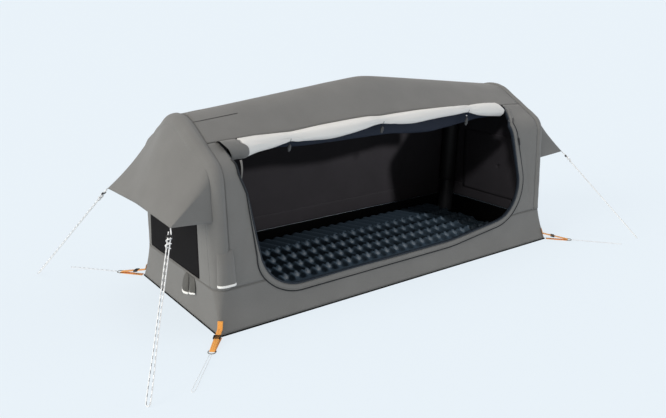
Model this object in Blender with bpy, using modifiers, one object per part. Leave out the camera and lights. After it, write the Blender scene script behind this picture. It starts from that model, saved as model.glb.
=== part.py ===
"""A one-person inflatable tent. Air beams in cloth sleeves hold a sewn shell over a bathtub floor.

Metres, +Z up. X runs along the tent and the door side faces -Y. The origin is the centre of the
groundsheet's underside. "Left" is the end at -X, as seen from the door side.
"""
import math

import bmesh
import bpy
from mathutils import Matrix, Vector

# The shell's outline
LENGTH = 2.40
WIDTH = 0.96
SKIRT_HEIGHT = 0.21
WALL_INSET = 0.045
END_INSET = 0.020
SHOULDER_INSET = 0.070
SHOULDER_HEIGHT = 0.779
SHOULDER_RADIUS = 0.12
ROOF_PITCH = math.radians(30.4)
TOP_RADIUS = 0.25
RIDGE_RISE = 0.117
RIDGE_BEND = 0.06
RIDGE_ROUNDING = 0.05
DOOR_SEAM_INSET = 0.16
BASE_CORNER_RADIUS = 0.012

# Cloth, and the clearance that touching pieces keep
CLOTH = 0.003
GAP = 0.0003

# Air beams and their sleeves
SLEEVE_RADIUS = 0.055
RIDGE_SLEEVE_RADIUS = 0.049
SLEEVE_WALL = 0.0025
SLEEVE_HEM_HEIGHT = 0.25
COVER_FLANGE = 0.02
COVER_END_FLANGE = 0.006

# Groundsheet
GROUND_THICKNESS = 0.004
GROUND_RIM = 0.004
TUB_HEIGHT = 0.13
TUB_WALL = 0.002

# Door opening: the corners of its outline on the front wall, their insets from the tent's ends
DOOR_SILL = 0.148
DOOR_LEFT_SEAM_INSET = 0.18
DOOR_LEFT_TOP_INSET = 0.195
DOOR_LEFT_FOOT_INSET = 0.30
DOOR_LEFT_RADIUS = 0.23
DOOR_BEND_X = 0.35
DOOR_BEND_RISE = 0.005
DOOR_BEND_RADIUS = 1.0
DOOR_RIGHT_FOOT_INSET = 0.20
DOOR_RIGHT_RISE = 0.075
DOOR_RIGHT_RADIUS = 0.22
DOOR_RIGHT_TOP_INSET = 0.345
DOOR_RIGHT_SEAM_INSET = 0.255

# Zip round the door, with its slider and pull tab
ZIP_OFFSET = 0.040
ZIP_WIDTH = 0.010
ZIP_THICKNESS = 0.002
ZIP_SEAT = 0.0008
SLIDER_HEIGHT = 0.69
SLIDER_LENGTH = 0.016
SLIDER_WIDTH = 0.012
SLIDER_THICKNESS = 0.005
PULL_LENGTH = 0.038
PULL_WIDTH = 0.008
PULL_THICKNESS = 0.0015

# Rolled door, rolled net door, ties and toggles. A roll's ends are inset from the door's seam
ROLL_LEFT_INSET = 0.02
ROLL_RIGHT_INSET = 0.06
ROLL_PINCH = 0.021
ROLL_BULGE = 0.031
ROLL_DEPTH_SHARE = 0.9
ROLL_CLEARANCE = 0.0041
ROLL_TIP_ANGLE = math.radians(45)
NET_TIP_ANGLE = math.radians(115)
NET_ROLL_LEFT_INSET = 0.12
NET_ROLL_RIGHT_INSET = 0.105
NET_ROLL_PINCH = 0.014
NET_ROLL_BULGE = 0.021
NET_ROLL_CLEARANCE = 0.007
NET_ROLL_DROP = 0.030
NET_ROLL_SAG = 0.05
NET_TONGUE_INSET = 0.006
NET_TONGUE_DROP = 0.0048
TIE_SHARES = (-0.67, -0.07, 2 / 3)
TIE_WIDTH = 0.012
TIE_THICKNESS = 0.0015
TOGGLE_DROP = 0.045
TOGGLE_CORD_WIDTH = 0.004
TOGGLE_LOOP_SHARE = 0.6
TOGGLE_LENGTH = 0.036
TOGGLE_RADIUS = 0.005

# End windows
WINDOW_SILL_RISE = 0.023
WINDOW_TOP = 0.62
WINDOW_SILL_INSET = 0.079
WINDOW_TOP_INSET = 0.112
WINDOW_SHIFT = 0.053
WINDOW_CORNER = 0.02
NET_THICKNESS = 0.0015

# Hoods over the windows
HOOD_REACH = 0.174
HOOD_INSET = 0.022
HOOD_HEIGHT = 0.557
HOOD_CLOTH = 0.002
HOOD_EDGE_RISE = 0.015
HOOD_SEAT_ANGLE = math.radians(45)
HOOD_SEAT_SHARE = 1.5

# Inflation valve and its flap, on the front left leg
VALVE_HEIGHT = 0.31
VALVE_ANGLE = math.radians(15)
VALVE_RADIUS = 0.013
VALVE_FLANGE_LIP = 0.005
VALVE_FLANGE = 0.0015
VALVE_STAND = 0.004
CAP_LIP = 0.002
CAP_THICKNESS = 0.003
CAP_GRIP_WIDTH = 0.004
CAP_GRIP_HEIGHT = 0.0015
CAP_GRIP_SHARE = 0.9
FLAP_TOP = 0.40
FLAP_FOOT = 0.232
FLAP_END_SIDE = 0.047
FLAP_DOOR_SIDE = 0.043
FLAP_CLOTH = 0.002
FLAP_CLEARANCE = 0.0095
FLAP_TOP_SHARE = 0.85
FLAP_EDGE_SHARE = 0.3
FLAP_SWELL_SHARE = 0.4

# Cable entry in the left end, below the skirt's seam
CABLE_INSET = 0.30
CABLE_HOLE_WIDTH = 0.060
CABLE_HOLE_HEIGHT = 0.036
CABLE_HOLE_DROP = 0.045
CABLE_FLAP_WIDTH = 0.072
CABLE_FLAP_DROP = 0.007
CABLE_FLAP_LENGTH = 0.108
CABLE_FLAP_SPLIT = 0.008
CABLE_FLAP_STAND = 0.016
CABLE_FLAP_EDGE_SHARE = 0.2

# Air mat, with the room round it
MAT_END_ROOM = 0.21
MAT_SIDE_ROOM = 0.055
MAT_THICKNESS = 0.085
MAT_KNOB = 0.024
MAT_KNOBS_LONG = 27
MAT_KNOBS_WIDE = 9
MAT_EDGE_SHARE = 0.5

# Corner anchors, in a frame that runs outward from the groundsheet's corner
ANCHOR_ANGLE = math.radians(50)
WEBBING_WIDTH = 0.026
WEBBING = 0.002
TAB_TOP = 0.078
TAB_LEAVE = 0.036
RING_REACH = 0.135
RING_WIRE = 0.002
RING_SIDE = 0.005
RING_LENGTH = 0.026
BUCKLE_REACH = 0.040
BUCKLE_LENGTH = 0.024
BUCKLE_SIDE = 0.005
BUCKLE_THICKNESS = 0.009
BUCKLE_BAR = 0.0045

# Guy lines and anchor cords
GUY_PEG_REACH = 0.49
GUY_PEG_SIDE = 0.36
ROPE_RADIUS = 0.002
RUNNER_PLACE = 0.040
RUNNER_LENGTH = 0.012
RUNNER_WIDTH = 0.028
RUNNER_THICKNESS = 0.009
RUNNER_BORE_SIDE = 0.006
CORD_RADIUS = 0.0015
CORD_SET = 0.0006
# Each route lists points by hand: metres from the line's upper end, and metres to the side
GUY_ROUTE = [
    (0.0006, 0.0), (0.014, 0.0035), (0.028, 0.006), (0.060, 0.006), (0.52, 0.006), (0.64, 0.0085),
    (0.745, 0.009), (0.7585, 0.0068), (0.7645, 0.0), (0.7585, -0.0068), (0.745, -0.009),
    (0.64, -0.0085), (0.52, -0.006), (0.060, -0.006), (0.028, -0.006), (0.018, -0.006),
]
CORD_ROUTE = [
    (0.0, 0.005), (0.012, 0.0055), (0.15, 0.006), (0.285, 0.0072), (0.302, 0.0058), (0.308, 0.0),
    (0.302, -0.0058), (0.285, -0.0072), (0.15, -0.006), (0.012, -0.0055), (0.0, -0.005),
]

# Facets
ARC_STEPS = 4
TOP_STEPS = 6
RING_SIDES = 12
CORNER_STEPS = 4
SKIRT_LEVELS = 5
ROOF_ROWS = 6
ROOF_SHARES = (0, 0.035, 0.09, 0.17, 0.30, 0.50, 0.75, 1)
WALL_ROW_SHARES = (0, 0.05, 0.12, 0.20, 0.30, 0.42, 0.58)
CUT_OVERRUN = 0.01

# Worked out from the sizes above
HALF_LENGTH = LENGTH / 2
HALF_WIDTH = WIDTH / 2
WALL_Y = HALF_WIDTH - WALL_INSET
SHOULDER_Y = HALF_WIDTH - SHOULDER_INSET
END_X = HALF_LENGTH - END_INSET
DOOR_SEAM_Y = SHOULDER_Y - DOOR_SEAM_INSET
DOOR_LEFT_SEAM = HALF_LENGTH - DOOR_LEFT_SEAM_INSET
DOOR_RIGHT_SEAM = HALF_LENGTH - DOOR_RIGHT_SEAM_INSET
ROLL_LEFT = DOOR_LEFT_SEAM - ROLL_LEFT_INSET
ROLL_RIGHT = DOOR_RIGHT_SEAM - ROLL_RIGHT_INSET
ROLL_STAND_OFF = ROLL_BULGE * ROLL_DEPTH_SHARE + ROLL_CLEARANCE
NET_ROLL_LEFT = DOOR_LEFT_SEAM - NET_ROLL_LEFT_INSET
NET_ROLL_RIGHT = DOOR_RIGHT_SEAM - NET_ROLL_RIGHT_INSET
NET_ROLL_INSET = NET_ROLL_BULGE + NET_ROLL_CLEARANCE
TIE_PLACES = [share * (ROLL_LEFT if share < 0 else ROLL_RIGHT) for share in TIE_SHARES]
WINDOW_SILL = SKIRT_HEIGHT + WINDOW_SILL_RISE
WINDOW_HALF_SILL = WALL_Y - WINDOW_SHIFT - WINDOW_SILL_INSET
WINDOW_HALF_TOP = WALL_Y - WINDOW_SHIFT - WINDOW_TOP_INSET
HOOD_HALF_WIDTH = WALL_Y - HOOD_INSET
VALVE_FLANGE_RADIUS = VALVE_RADIUS + VALVE_FLANGE_LIP
CAP_RADIUS = VALVE_RADIUS + CAP_LIP
FLAP_STAND = VALVE_STAND + CAP_THICKNESS + CAP_GRIP_HEIGHT + FLAP_CLEARANCE
CABLE_Y = CABLE_INSET - WALL_Y
CABLE_HOLE_Z = SKIRT_HEIGHT - CABLE_HOLE_DROP
CABLE_FLAP_TOP = SKIRT_HEIGHT - CABLE_FLAP_DROP
MAT_LENGTH = LENGTH - 2 * MAT_END_ROOM
MAT_WIDTH = WIDTH - 2 * MAT_SIDE_ROOM
RING_HALF_WIDTH = WEBBING_WIDTH / 2 + RING_SIDE
BUCKLE_WIDTH = WEBBING_WIDTH + 2 * BUCKLE_SIDE
FACET = math.cos(math.pi / RING_SIDES)
COVER_RADIUS = SLEEVE_RADIUS + (GAP + CLOTH) / FACET
BEAM_RADIUS = SLEEVE_RADIUS - (SLEEVE_WALL + GAP) / FACET
RIDGE_BEAM_RADIUS = RIDGE_SLEEVE_RADIUS - (SLEEVE_WALL + GAP) / FACET
ARCH_X = END_X - COVER_RADIUS
PANEL_END = ARCH_X - COVER_FLANGE - GAP
APEX_HEIGHT = SHOULDER_HEIGHT + SHOULDER_Y * math.tan(ROOF_PITCH)
ARCH_TOP = APEX_HEIGHT - TOP_RADIUS * (1 / math.cos(ROOF_PITCH) - 1)
UP = Vector((0, 0, 1))
ALONG = Vector((1, 0, 0))
INSIDE = Vector((0, 0, SHOULDER_HEIGHT / 2))

for old in list(bpy.data.objects):
    bpy.data.objects.remove(old)
PARTS = bpy.data.collections.new("inflatable_tent")
CUTTERS = bpy.data.collections.new("cutters")
bpy.context.scene.collection.children.link(PARTS)
bpy.context.scene.collection.children.link(CUTTERS)


# Materials
def material(name, colour, roughness, metallic=0.0):
    """A plain Principled finish."""
    made = bpy.data.materials.new(name)
    made.use_nodes = True
    shader = made.node_tree.nodes["Principled BSDF"]
    shader.inputs["Base Color"].default_value = (*colour, 1)
    shader.inputs["Roughness"].default_value = roughness
    shader.inputs["Metallic"].default_value = metallic
    made.diffuse_color = (*colour, 1)
    return made


CANVAS = material("canvas", (0.17, 0.17, 0.16), 0.9)
LINING = material("sleeve_cloth", (0.03, 0.03, 0.032), 0.9)
GROUND = material("groundsheet_cloth", (0.012, 0.012, 0.014), 0.7)
NET = material("window_net", (0.02, 0.02, 0.02), 0.9)
NET_DOOR = material("net_door_cloth", (0.012, 0.016, 0.025), 0.8)
DOOR_LINING = material("door_lining", (0.68, 0.68, 0.68), 0.8)
BLADDER = material("beam_film", (0.015, 0.015, 0.017), 0.45)
MAT_CLOTH = material("mat_film", (0.008, 0.014, 0.02), 0.4)
ZIP_TAPE = material("zip_tape", (0.015, 0.018, 0.022), 0.6)
BLACK_PLASTIC = material("black_plastic", (0.012, 0.012, 0.013), 0.4)
ORANGE = material("orange_webbing", (0.95, 0.42, 0.08), 0.7)
STEEL = material("ring_steel", (0.05, 0.045, 0.04), 0.35, 1.0)
ROPE = material("white_rope", (0.80, 0.80, 0.82), 0.7)


# Modelling helpers
def placed(name, mesh, finish, matrix=None):
    """An object for a mesh, at a place."""
    made = bpy.data.objects.new(name, mesh)
    if not mesh.materials:
        mesh.materials.append(finish)
    if matrix is not None:
        made.matrix_world = matrix
    PARTS.objects.link(made)
    return made


def mesh_of(name, build):
    """A mesh from a bmesh that build has closed, with its faces pointing out."""
    bmesh.ops.recalc_face_normals(build, faces=build.faces)
    mesh = bpy.data.meshes.new(name)
    build.to_mesh(mesh)
    build.free()
    return mesh


def joined_rows(build, rows, closed=False):
    """Quads between rows of points, with the last column joined to the first where closed."""
    grid = [[build.verts.new(point) for point in row] for row in rows]
    for lower, upper in zip(grid, grid[1:]):
        count = len(lower)
        for here in range(count if closed else count - 1):
            beside = (here + 1) % count
            build.faces.new((lower[here], lower[beside], upper[beside], upper[here]))
    return grid


def sheet(name, rows, finish, thickness, away_from, closed=False, weld=False, pivot=None):
    """Cloth or webbing: an open surface whose outer side faces away from a point, thickened inward."""
    build = bmesh.new()
    joined_rows(build, rows, closed)
    if weld:
        bmesh.ops.remove_doubles(build, verts=build.verts, dist=GAP / 10)
    build.normal_update()
    build.faces.ensure_lookup_table()
    middle = build.faces[len(build.faces) // 2]
    if middle.normal.dot(middle.calc_center_median() - away_from) < 0:
        bmesh.ops.reverse_faces(build, faces=build.faces)
    origin = pivot or Vector((0, 0, 0))
    bmesh.ops.translate(build, verts=build.verts, vec=-origin)
    mesh = bpy.data.meshes.new(name)
    build.to_mesh(mesh)
    build.free()
    made = placed(name, mesh, finish, Matrix.Translation(origin))
    shell = made.modifiers.new("cloth", "SOLIDIFY")
    shell.thickness = thickness
    shell.offset = -1
    shell.use_even_offset = True
    return made


def loft(name, loops, finish, ring=False, matrix=None):
    """A closed solid through closed loops, capped, or joined end to end where ring."""
    build = bmesh.new()
    grid = joined_rows(build, loops, closed=True)
    if ring:
        count = len(grid[0])
        for here in range(count):
            beside = (here + 1) % count
            build.faces.new((grid[-1][here], grid[-1][beside], grid[0][beside], grid[0][here]))
    else:
        build.faces.new(list(reversed(grid[0])))
        build.faces.new(grid[-1])
    return placed(name, mesh_of(name, build), finish, matrix)


def block(name, size, finish, matrix):
    """A box of a size, centred on a place."""
    build = bmesh.new()
    bmesh.ops.create_cube(build, size=1)
    bmesh.ops.scale(build, vec=size, verts=build.verts)
    return placed(name, mesh_of(name, build), finish, matrix)


def rod(name, radius, length, finish, matrix, sides=RING_SIDES):
    """A cylinder centred on a place, along its own Z."""
    build = bmesh.new()
    bmesh.ops.create_cone(
        build, cap_ends=True, segments=sides, radius1=radius, radius2=radius, depth=length
    )
    return placed(name, mesh_of(name, build), finish, matrix)


def turned_piece(name, profile, finish, matrix, steps=RING_SIDES):
    """A turned solid: (radius, height) points down its outer side, from the axis to the axis."""
    mesh = bpy.data.meshes.new(name)
    points = [(radius, 0, height) for radius, height in profile]
    mesh.from_pydata(points, [(here, here + 1) for here in range(len(points) - 1)], [])
    made = placed(name, mesh, finish, matrix)
    screw = made.modifiers.new("turn", "SCREW")
    screw.steps = steps
    screw.render_steps = steps
    screw.use_merge_vertices = True
    screw.merge_threshold = 0.00001
    screw.use_smooth_shade = False
    return made


def boolean(target, other, operation):
    """Cuts or joins another object, which is then only a guide."""
    step = target.modifiers.new(operation.lower(), "BOOLEAN")
    step.operation = operation
    step.object = other
    other.hide_render = True
    other.display_type = "WIRE"
    for holder in list(other.users_collection):
        holder.objects.unlink(other)
    CUTTERS.objects.link(other)


def tube(name, points, radius, finish, resolution=2, cyclic=False):
    """A round tube along points."""
    curve = bpy.data.curves.new(name, "CURVE")
    curve.dimensions = "3D"
    curve.bevel_depth = radius
    curve.bevel_resolution = resolution
    curve.use_fill_caps = True
    spline = curve.splines.new("POLY")
    spline.points.add(len(points) - 1)
    for slot, point in zip(spline.points, points):
        slot.co = (*point, 1)
    spline.use_cyclic_u = cyclic
    curve.materials.append(finish)
    made = bpy.data.objects.new(name, curve)
    PARTS.objects.link(made)
    return made


def flat_plate(name, outlines, thickness, x, finish):
    """A flat cloth panel across X: (y, z) outlines, the inner ones its holes."""
    curve = bpy.data.curves.new(name, "CURVE")
    curve.dimensions = "2D"
    curve.fill_mode = "BOTH"
    curve.extrude = thickness / 2
    for outline in outlines:
        spline = curve.splines.new("POLY")
        spline.points.add(len(outline) - 1)
        for slot, (y, z) in zip(spline.points, outline):
            slot.co = (y, z, 0, 1)
        spline.use_cyclic_u = True
    curve.materials.append(finish)
    made = bpy.data.objects.new(name, curve)
    made.matrix_world = Matrix(((0, 0, 1, x), (1, 0, 0, 0), (0, 1, 0, 0), (0, 0, 0, 1)))
    PARTS.objects.link(made)
    return made


def framed(origin, first, second, third):
    """A matrix whose own axes are three directions."""
    matrix = Matrix.Identity(4)
    for column, direction in enumerate((first, second, third)):
        for row in range(3):
            matrix[row][column] = direction[row]
    matrix.translation = origin
    return matrix


# Curves of the shell
def fillet(before, corner, after, radius, steps):
    """(point, left normal) pairs round a corner of a flat path."""
    arrive = (corner - before).normalized()
    leave = (after - corner).normalized()
    turn = math.atan2(arrive.x * leave.y - arrive.y * leave.x, arrive.dot(leave))
    side = math.copysign(1, turn)
    normal = Vector((-arrive.y, arrive.x))
    centre = corner - arrive * radius * math.tan(abs(turn) / 2) + normal * radius * side
    samples = []
    for step in range(steps + 1):
        angle = turn * step / steps
        heading = Vector((
            normal.x * math.cos(angle) - normal.y * math.sin(angle),
            normal.x * math.sin(angle) + normal.y * math.cos(angle),
        ))
        samples.append((centre - heading * radius * side, heading))
    return samples


def arch_outline(foot_height):
    """The shell's (y, z) outline at an end arch, front foot to back foot, with outward normals."""
    low_front = Vector((-WALL_Y, SKIRT_HEIGHT))
    shoulder_front = Vector((-SHOULDER_Y, SHOULDER_HEIGHT))
    apex = Vector((0, APEX_HEIGHT))
    shoulder_back = Vector((SHOULDER_Y, SHOULDER_HEIGHT))
    low_back = Vector((WALL_Y, SKIRT_HEIGHT))
    wall = (shoulder_front - low_front).normalized()
    foot = low_front + wall * (foot_height - SKIRT_HEIGHT) / wall.y
    normal = Vector((-wall.y, wall.x))
    samples = [(foot, normal)]
    samples += fillet(low_front, shoulder_front, apex, SHOULDER_RADIUS, ARC_STEPS)
    samples += fillet(shoulder_front, apex, shoulder_back, TOP_RADIUS, TOP_STEPS)
    samples += fillet(apex, shoulder_back, low_back, SHOULDER_RADIUS, ARC_STEPS)
    samples.append((Vector((-foot.x, foot.y)), Vector((-normal.x, normal.y))))
    return samples


def rounded(value, softness):
    """Like abs, but smooth at zero."""
    return math.sqrt(value * value + softness * softness) - softness


def ridge_rise(x):
    """How far the ridge stands above the arches' tops at a place along the tent."""
    return RIDGE_RISE * max(0, 1 - rounded(x, RIDGE_BEND) / rounded(PANEL_END, RIDGE_BEND))


def lifted(x, y, z):
    """A point of the arch's outline carried along the tent, where the ridge lifts the roof."""
    share = max(0, 1 - rounded(y, RIDGE_ROUNDING) / rounded(SHOULDER_Y, RIDGE_ROUNDING))
    return Vector((x, y, z + ridge_rise(x) * share))


def roof_height(y):
    """The outline's height above the shoulder."""
    if abs(y) < TOP_RADIUS * math.sin(ROOF_PITCH):
        return ARCH_TOP - TOP_RADIUS + math.sqrt(TOP_RADIUS * TOP_RADIUS - y * y)
    return SHOULDER_HEIGHT + (SHOULDER_Y - abs(y)) * math.tan(ROOF_PITCH)


def flare(height):
    """1 at the ground, 0 at the skirt's seam."""
    return max(0, 1 - height / SKIRT_HEIGHT) ** 2


def skirt_half_width(height):
    return WALL_Y + (WALL_INSET - GROUND_RIM) * flare(height)


def skirt_half_length(height):
    return END_X + (END_INSET - GROUND_RIM) * flare(height)


def skirt_corner(height):
    """The corner's radius in plan, which opens to the arch cover's at the seam."""
    return COVER_RADIUS + (BASE_CORNER_RADIUS - COVER_RADIUS) * max(0, 1 - height / SKIRT_HEIGHT)


def rounded_rectangle(half_x, half_y, radius, height):
    """A loop of points in plan, anticlockwise from the +X side."""
    loop = []
    for quarter, (side_x, side_y) in enumerate(((1, 1), (-1, 1), (-1, -1), (1, -1))):
        for step in range(CORNER_STEPS + 1):
            angle = (quarter + step / CORNER_STEPS) * math.pi / 2
            x = side_x * (half_x - radius) + radius * math.cos(angle)
            y = side_y * (half_y - radius) + radius * math.sin(angle)
            loop.append(Vector((x, y, height)))
    return loop


def skirt_loop(height, inset=0.0):
    """The skirt's outline in plan at a height, or one that far inside it."""
    return rounded_rectangle(
        skirt_half_length(height) - inset,
        skirt_half_width(height) - inset,
        skirt_corner(height) - inset,
        height,
    )


def front_surface(height):
    """(y, outward normal) of the front wall at a height, on the skirt, the panel or the shoulder."""
    if height < SKIRT_HEIGHT:
        share = max(0, 1 - height / SKIRT_HEIGHT)
        slope = 2 * (WALL_INSET - GROUND_RIM) * share / SKIRT_HEIGHT
        return -skirt_half_width(height), Vector((0, -1, slope)).normalized()
    samples = arch_outline(SKIRT_HEIGHT)
    for (low, low_normal), (high, high_normal) in zip(samples, samples[1:]):
        if low.y <= height <= high.y:
            share = (height - low.y) / (high.y - low.y)
            normal = low_normal.lerp(high_normal, share).normalized()
            return low.x + (high.x - low.x) * share, Vector((0, normal.x, normal.y))
    return 0.0, UP


# The door's outline on the front wall, as (x, z)
SEAM_HEIGHT = roof_height(DOOR_SEAM_Y)
DOOR_CORNERS = (
    Vector((-DOOR_LEFT_SEAM, SEAM_HEIGHT)),
    Vector((DOOR_LEFT_TOP_INSET - HALF_LENGTH, SHOULDER_HEIGHT)),
    Vector((DOOR_LEFT_FOOT_INSET - HALF_LENGTH, DOOR_SILL)),
    Vector((DOOR_BEND_X, DOOR_SILL + DOOR_BEND_RISE)),
    Vector((HALF_LENGTH - DOOR_RIGHT_FOOT_INSET, DOOR_SILL + DOOR_RIGHT_RISE)),
    Vector((HALF_LENGTH - DOOR_RIGHT_TOP_INSET, SHOULDER_HEIGHT)),
    Vector((DOOR_RIGHT_SEAM, SEAM_HEIGHT)),
)


def door_path(offset=0.0):
    """The opening's edge from the left seam round to the right one, or a line outside it."""
    corners = DOOR_CORNERS
    first = (corners[1] - corners[0]).normalized()
    last = (corners[6] - corners[5]).normalized()
    left_side = (corners[2] - corners[1]).normalized()
    right_side = (corners[5] - corners[4]).normalized()
    samples = [(corners[0], Vector((-first.y, first.x)))]
    samples.append((corners[1], Vector((-left_side.y, left_side.x))))
    samples += fillet(corners[1], corners[2], corners[3], DOOR_LEFT_RADIUS, 2 * ARC_STEPS)
    samples += fillet(corners[2], corners[3], corners[4], DOOR_BEND_RADIUS, 2)
    samples += fillet(corners[3], corners[4], corners[5], DOOR_RIGHT_RADIUS, 2 * ARC_STEPS)
    samples.append((corners[5], Vector((-right_side.y, right_side.x))))
    samples.append((corners[6], Vector((-last.y, last.x))))
    return [point - normal * offset for point, normal in samples]


def door_edge(height, side):
    """The opening's edge at a height: side -1 is the left one and 1 the right one."""
    path = door_path()
    if side > 0:
        path = list(reversed(path))
    for high, low in zip(path, path[1:]):
        if low.y <= height <= high.y and high.y > low.y:
            share = (height - low.y) / (high.y - low.y)
            return low.x + (high.x - low.x) * share
    return path[0].x


# Shell: groundsheet and skirt
def make_groundsheet():
    rim = (HALF_LENGTH, HALF_WIDTH, BASE_CORNER_RADIUS + GROUND_RIM)
    inset = CLOTH + GAP
    loops = [rounded_rectangle(*rim, 0), rounded_rectangle(*rim, GROUND_THICKNESS)]
    heights = [
        GROUND_THICKNESS + (TUB_HEIGHT - GROUND_THICKNESS) * level / (SKIRT_LEVELS - 2)
        for level in range(SKIRT_LEVELS - 1)
    ]
    loops += [skirt_loop(height, inset) for height in heights]
    loops += [skirt_loop(height, inset + TUB_WALL) for height in reversed(heights)]
    loft("groundsheet", loops, GROUND)


def make_skirt():
    foot = GROUND_THICKNESS + GAP
    top = SKIRT_HEIGHT - GAP
    heights = [foot + (top - foot) * level / SKIRT_LEVELS for level in range(SKIRT_LEVELS + 1)]
    loops = [skirt_loop(height) for height in heights]
    loops += [skirt_loop(height, CLOTH) for height in reversed(heights)]
    skirt = loft("wall_skirt", loops, CANVAS, ring=True)
    path = door_path()
    prism = [Vector((point.x, 0, point.y)) for point in path if point.y < SHOULDER_HEIGHT]
    near = [point + Vector((0, -HALF_WIDTH - CUT_OVERRUN, 0)) for point in prism]
    far = [point + Vector((0, -WALL_Y + WALL_INSET + CUT_OVERRUN, 0)) for point in prism]
    boolean(skirt, loft("door_cutter", [near, far], CANVAS), "DIFFERENCE")
    hole = Matrix.Translation((-END_X, CABLE_Y, CABLE_HOLE_Z))
    size = (4 * END_INSET, CABLE_HOLE_WIDTH, CABLE_HOLE_HEIGHT)
    boolean(skirt, block("cable_cutter", size, CANVAS, hole), "DIFFERENCE")


# Shell: panels
def wall_profile():
    """(y, z) down to up on the front wall, from the skirt's seam to the door's seam."""
    samples = arch_outline(SKIRT_HEIGHT + GAP)
    foot = samples[0][0]
    arc = [point for point, _ in samples[1:ARC_STEPS + 2]]
    rows = [foot.lerp(arc[0], share) for share in WALL_ROW_SHARES]
    rows += arc
    rows.append(Vector((-DOOR_SEAM_Y - GAP, roof_height(DOOR_SEAM_Y + GAP))))
    return rows


def make_front_panel(name, side):
    rows = []
    for profile in wall_profile():
        edge = door_edge(profile.y, side)
        ends = (side * PANEL_END, edge)
        xs = [ends[0] + (ends[1] - ends[0]) * share for share in (0, 0.5, 1)]
        rows.append([lifted(x, profile.x, profile.y) for x in xs])
    sheet(name, rows, CANVAS, CLOTH, INSIDE)


def stations():
    """Places along the tent, finer where the ridge bends."""
    right = [share * PANEL_END for share in ROOF_SHARES]
    return [-x for x in reversed(right[1:])] + right


def make_back_panel():
    rows = []
    for profile in wall_profile():
        rows.append([lifted(x, -profile.x, profile.y) for x in stations()[::2]])
    sheet("back_panel", rows, CANVAS, CLOTH, INSIDE)


def make_roof(name, side):
    rows = []
    for row in range(ROOF_ROWS + 1):
        share = (row / ROOF_ROWS) ** 2
        y = side * (GAP + (DOOR_SEAM_Y - 2 * GAP) * share)
        rows.append([lifted(x, y, roof_height(y)) for x in stations()])
    sheet(name, rows, CANVAS, CLOTH, INSIDE)


def arch_centres(foot_height):
    """The middle line of an arch's beam: (point, outward normal)."""
    return [(point - normal * COVER_RADIUS, normal) for point, normal in arch_outline(foot_height)]


def around(radius, first, last):
    """(out, across) offsets round a beam's middle, from one twelfth of a turn to another."""
    angles = [2 * math.pi * part / RING_SIDES for part in range(first, last + 1)]
    return [(radius * math.cos(angle), radius * math.sin(angle)) for angle in angles]


def swept(foot_height, side, section):
    """Rows of points along an arch. Each offset is out of the arch, and across towards the end."""
    rows = []
    for centre, normal in arch_centres(foot_height):
        row = []
        for out, across in section:
            place = centre + normal * out
            row.append(Vector((side * (ARCH_X + across), place.x, place.y)))
        rows.append(row)
    for row, beside in ((rows[0], rows[1]), (rows[-1], rows[-2])):
        for here, (point, above) in enumerate(zip(row, beside)):
            row[here] = point.lerp(above, (foot_height - point.z) / (above.z - point.z))
    return rows


def make_arch_cover(name, side):
    """A strip over the arch: flat beside the panels, then round the beam to the end wall."""
    section = [(COVER_RADIUS, -COVER_FLANGE)] + around(COVER_RADIUS, 0, RING_SIDES // 4)
    section.append((-COVER_END_FLANGE, COVER_RADIUS))
    rows = swept(SKIRT_HEIGHT + GAP, side, section)
    return sheet(name, rows, CANVAS, CLOTH, Vector((side * ARCH_X, 0, 0)) + INSIDE)


def window_outline(shift, inset=0.0):
    """The window's (y, z) corners, each cut by a small chamfer."""
    half_sill = WINDOW_HALF_SILL - inset
    half_top = WINDOW_HALF_TOP - inset
    low = WINDOW_SILL + inset
    high = WINDOW_TOP - inset
    corners = [(-half_sill, low), (half_sill, low), (half_top, high), (-half_top, high)]
    corners = [Vector((y + shift, z)) for y, z in corners]
    outline = []
    for here, corner in enumerate(corners):
        before = corners[here - 1]
        after = corners[(here + 1) % len(corners)]
        outline.append(corner.lerp(before, WINDOW_CORNER / (corner - before).length))
        outline.append(corner.lerp(after, WINDOW_CORNER / (corner - after).length))
    return outline


def make_end(side, place):
    """An end wall inside its arch cover, with the net of its window."""
    shift = -side * WINDOW_SHIFT
    rows = swept(SKIRT_HEIGHT + GAP, side, [(-COVER_END_FLANGE - GAP, 0)])
    edge = [row[0].yz for row in rows]
    x = side * (END_X - CLOTH / 2)
    flat_plate("end_wall_" + place, [edge, window_outline(shift)], CLOTH, x, CANVAS)
    flat_plate("window_net_" + place, [window_outline(shift, GAP)], NET_THICKNESS, x, NET)


def hood_corner(side, front):
    return Vector((side * (HALF_LENGTH + HOOD_REACH), front * HOOD_HALF_WIDTH, HOOD_HEIGHT))


def make_hood(name, side):
    """A gable-shaped sheet from the arch out to two corners that guy lines hold."""
    seat = COVER_RADIUS + GAP + HOOD_CLOTH * HOOD_SEAT_SHARE
    centres = arch_centres(HOOD_HEIGHT)
    first = ARC_STEPS
    last = len(centres) - 1 - ARC_STEPS
    rows = []
    for here, (centre, normal) in enumerate(centres):
        share = (centre.x - centres[first][0].x) / (centres[last][0].x - centres[first][0].x)
        if here <= first:
            share = 0
        if here >= last:
            share = 1
        edge = hood_corner(side, -1).lerp(hood_corner(side, 1), share)
        edge.z += HOOD_EDGE_RISE * 4 * share * (1 - share)
        out = (edge.yz - centre).dot(normal)
        across = abs(edge.x) - ARCH_X
        tangent = math.atan2(across, out) - math.acos(seat / math.hypot(out, across))
        angle = max(HOOD_SEAT_ANGLE, tangent)
        place = centre + normal * seat * math.cos(angle)
        point = Vector((side * (ARCH_X + seat * math.sin(angle)), place.x, place.y))
        rows.append([point.lerp(edge, step / 4) for step in range(5)])
    under = Vector((side * HALF_LENGTH, 0, SHOULDER_HEIGHT / 2))
    sheet(name, rows, CANVAS, HOOD_CLOTH, under, weld=True)


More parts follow.
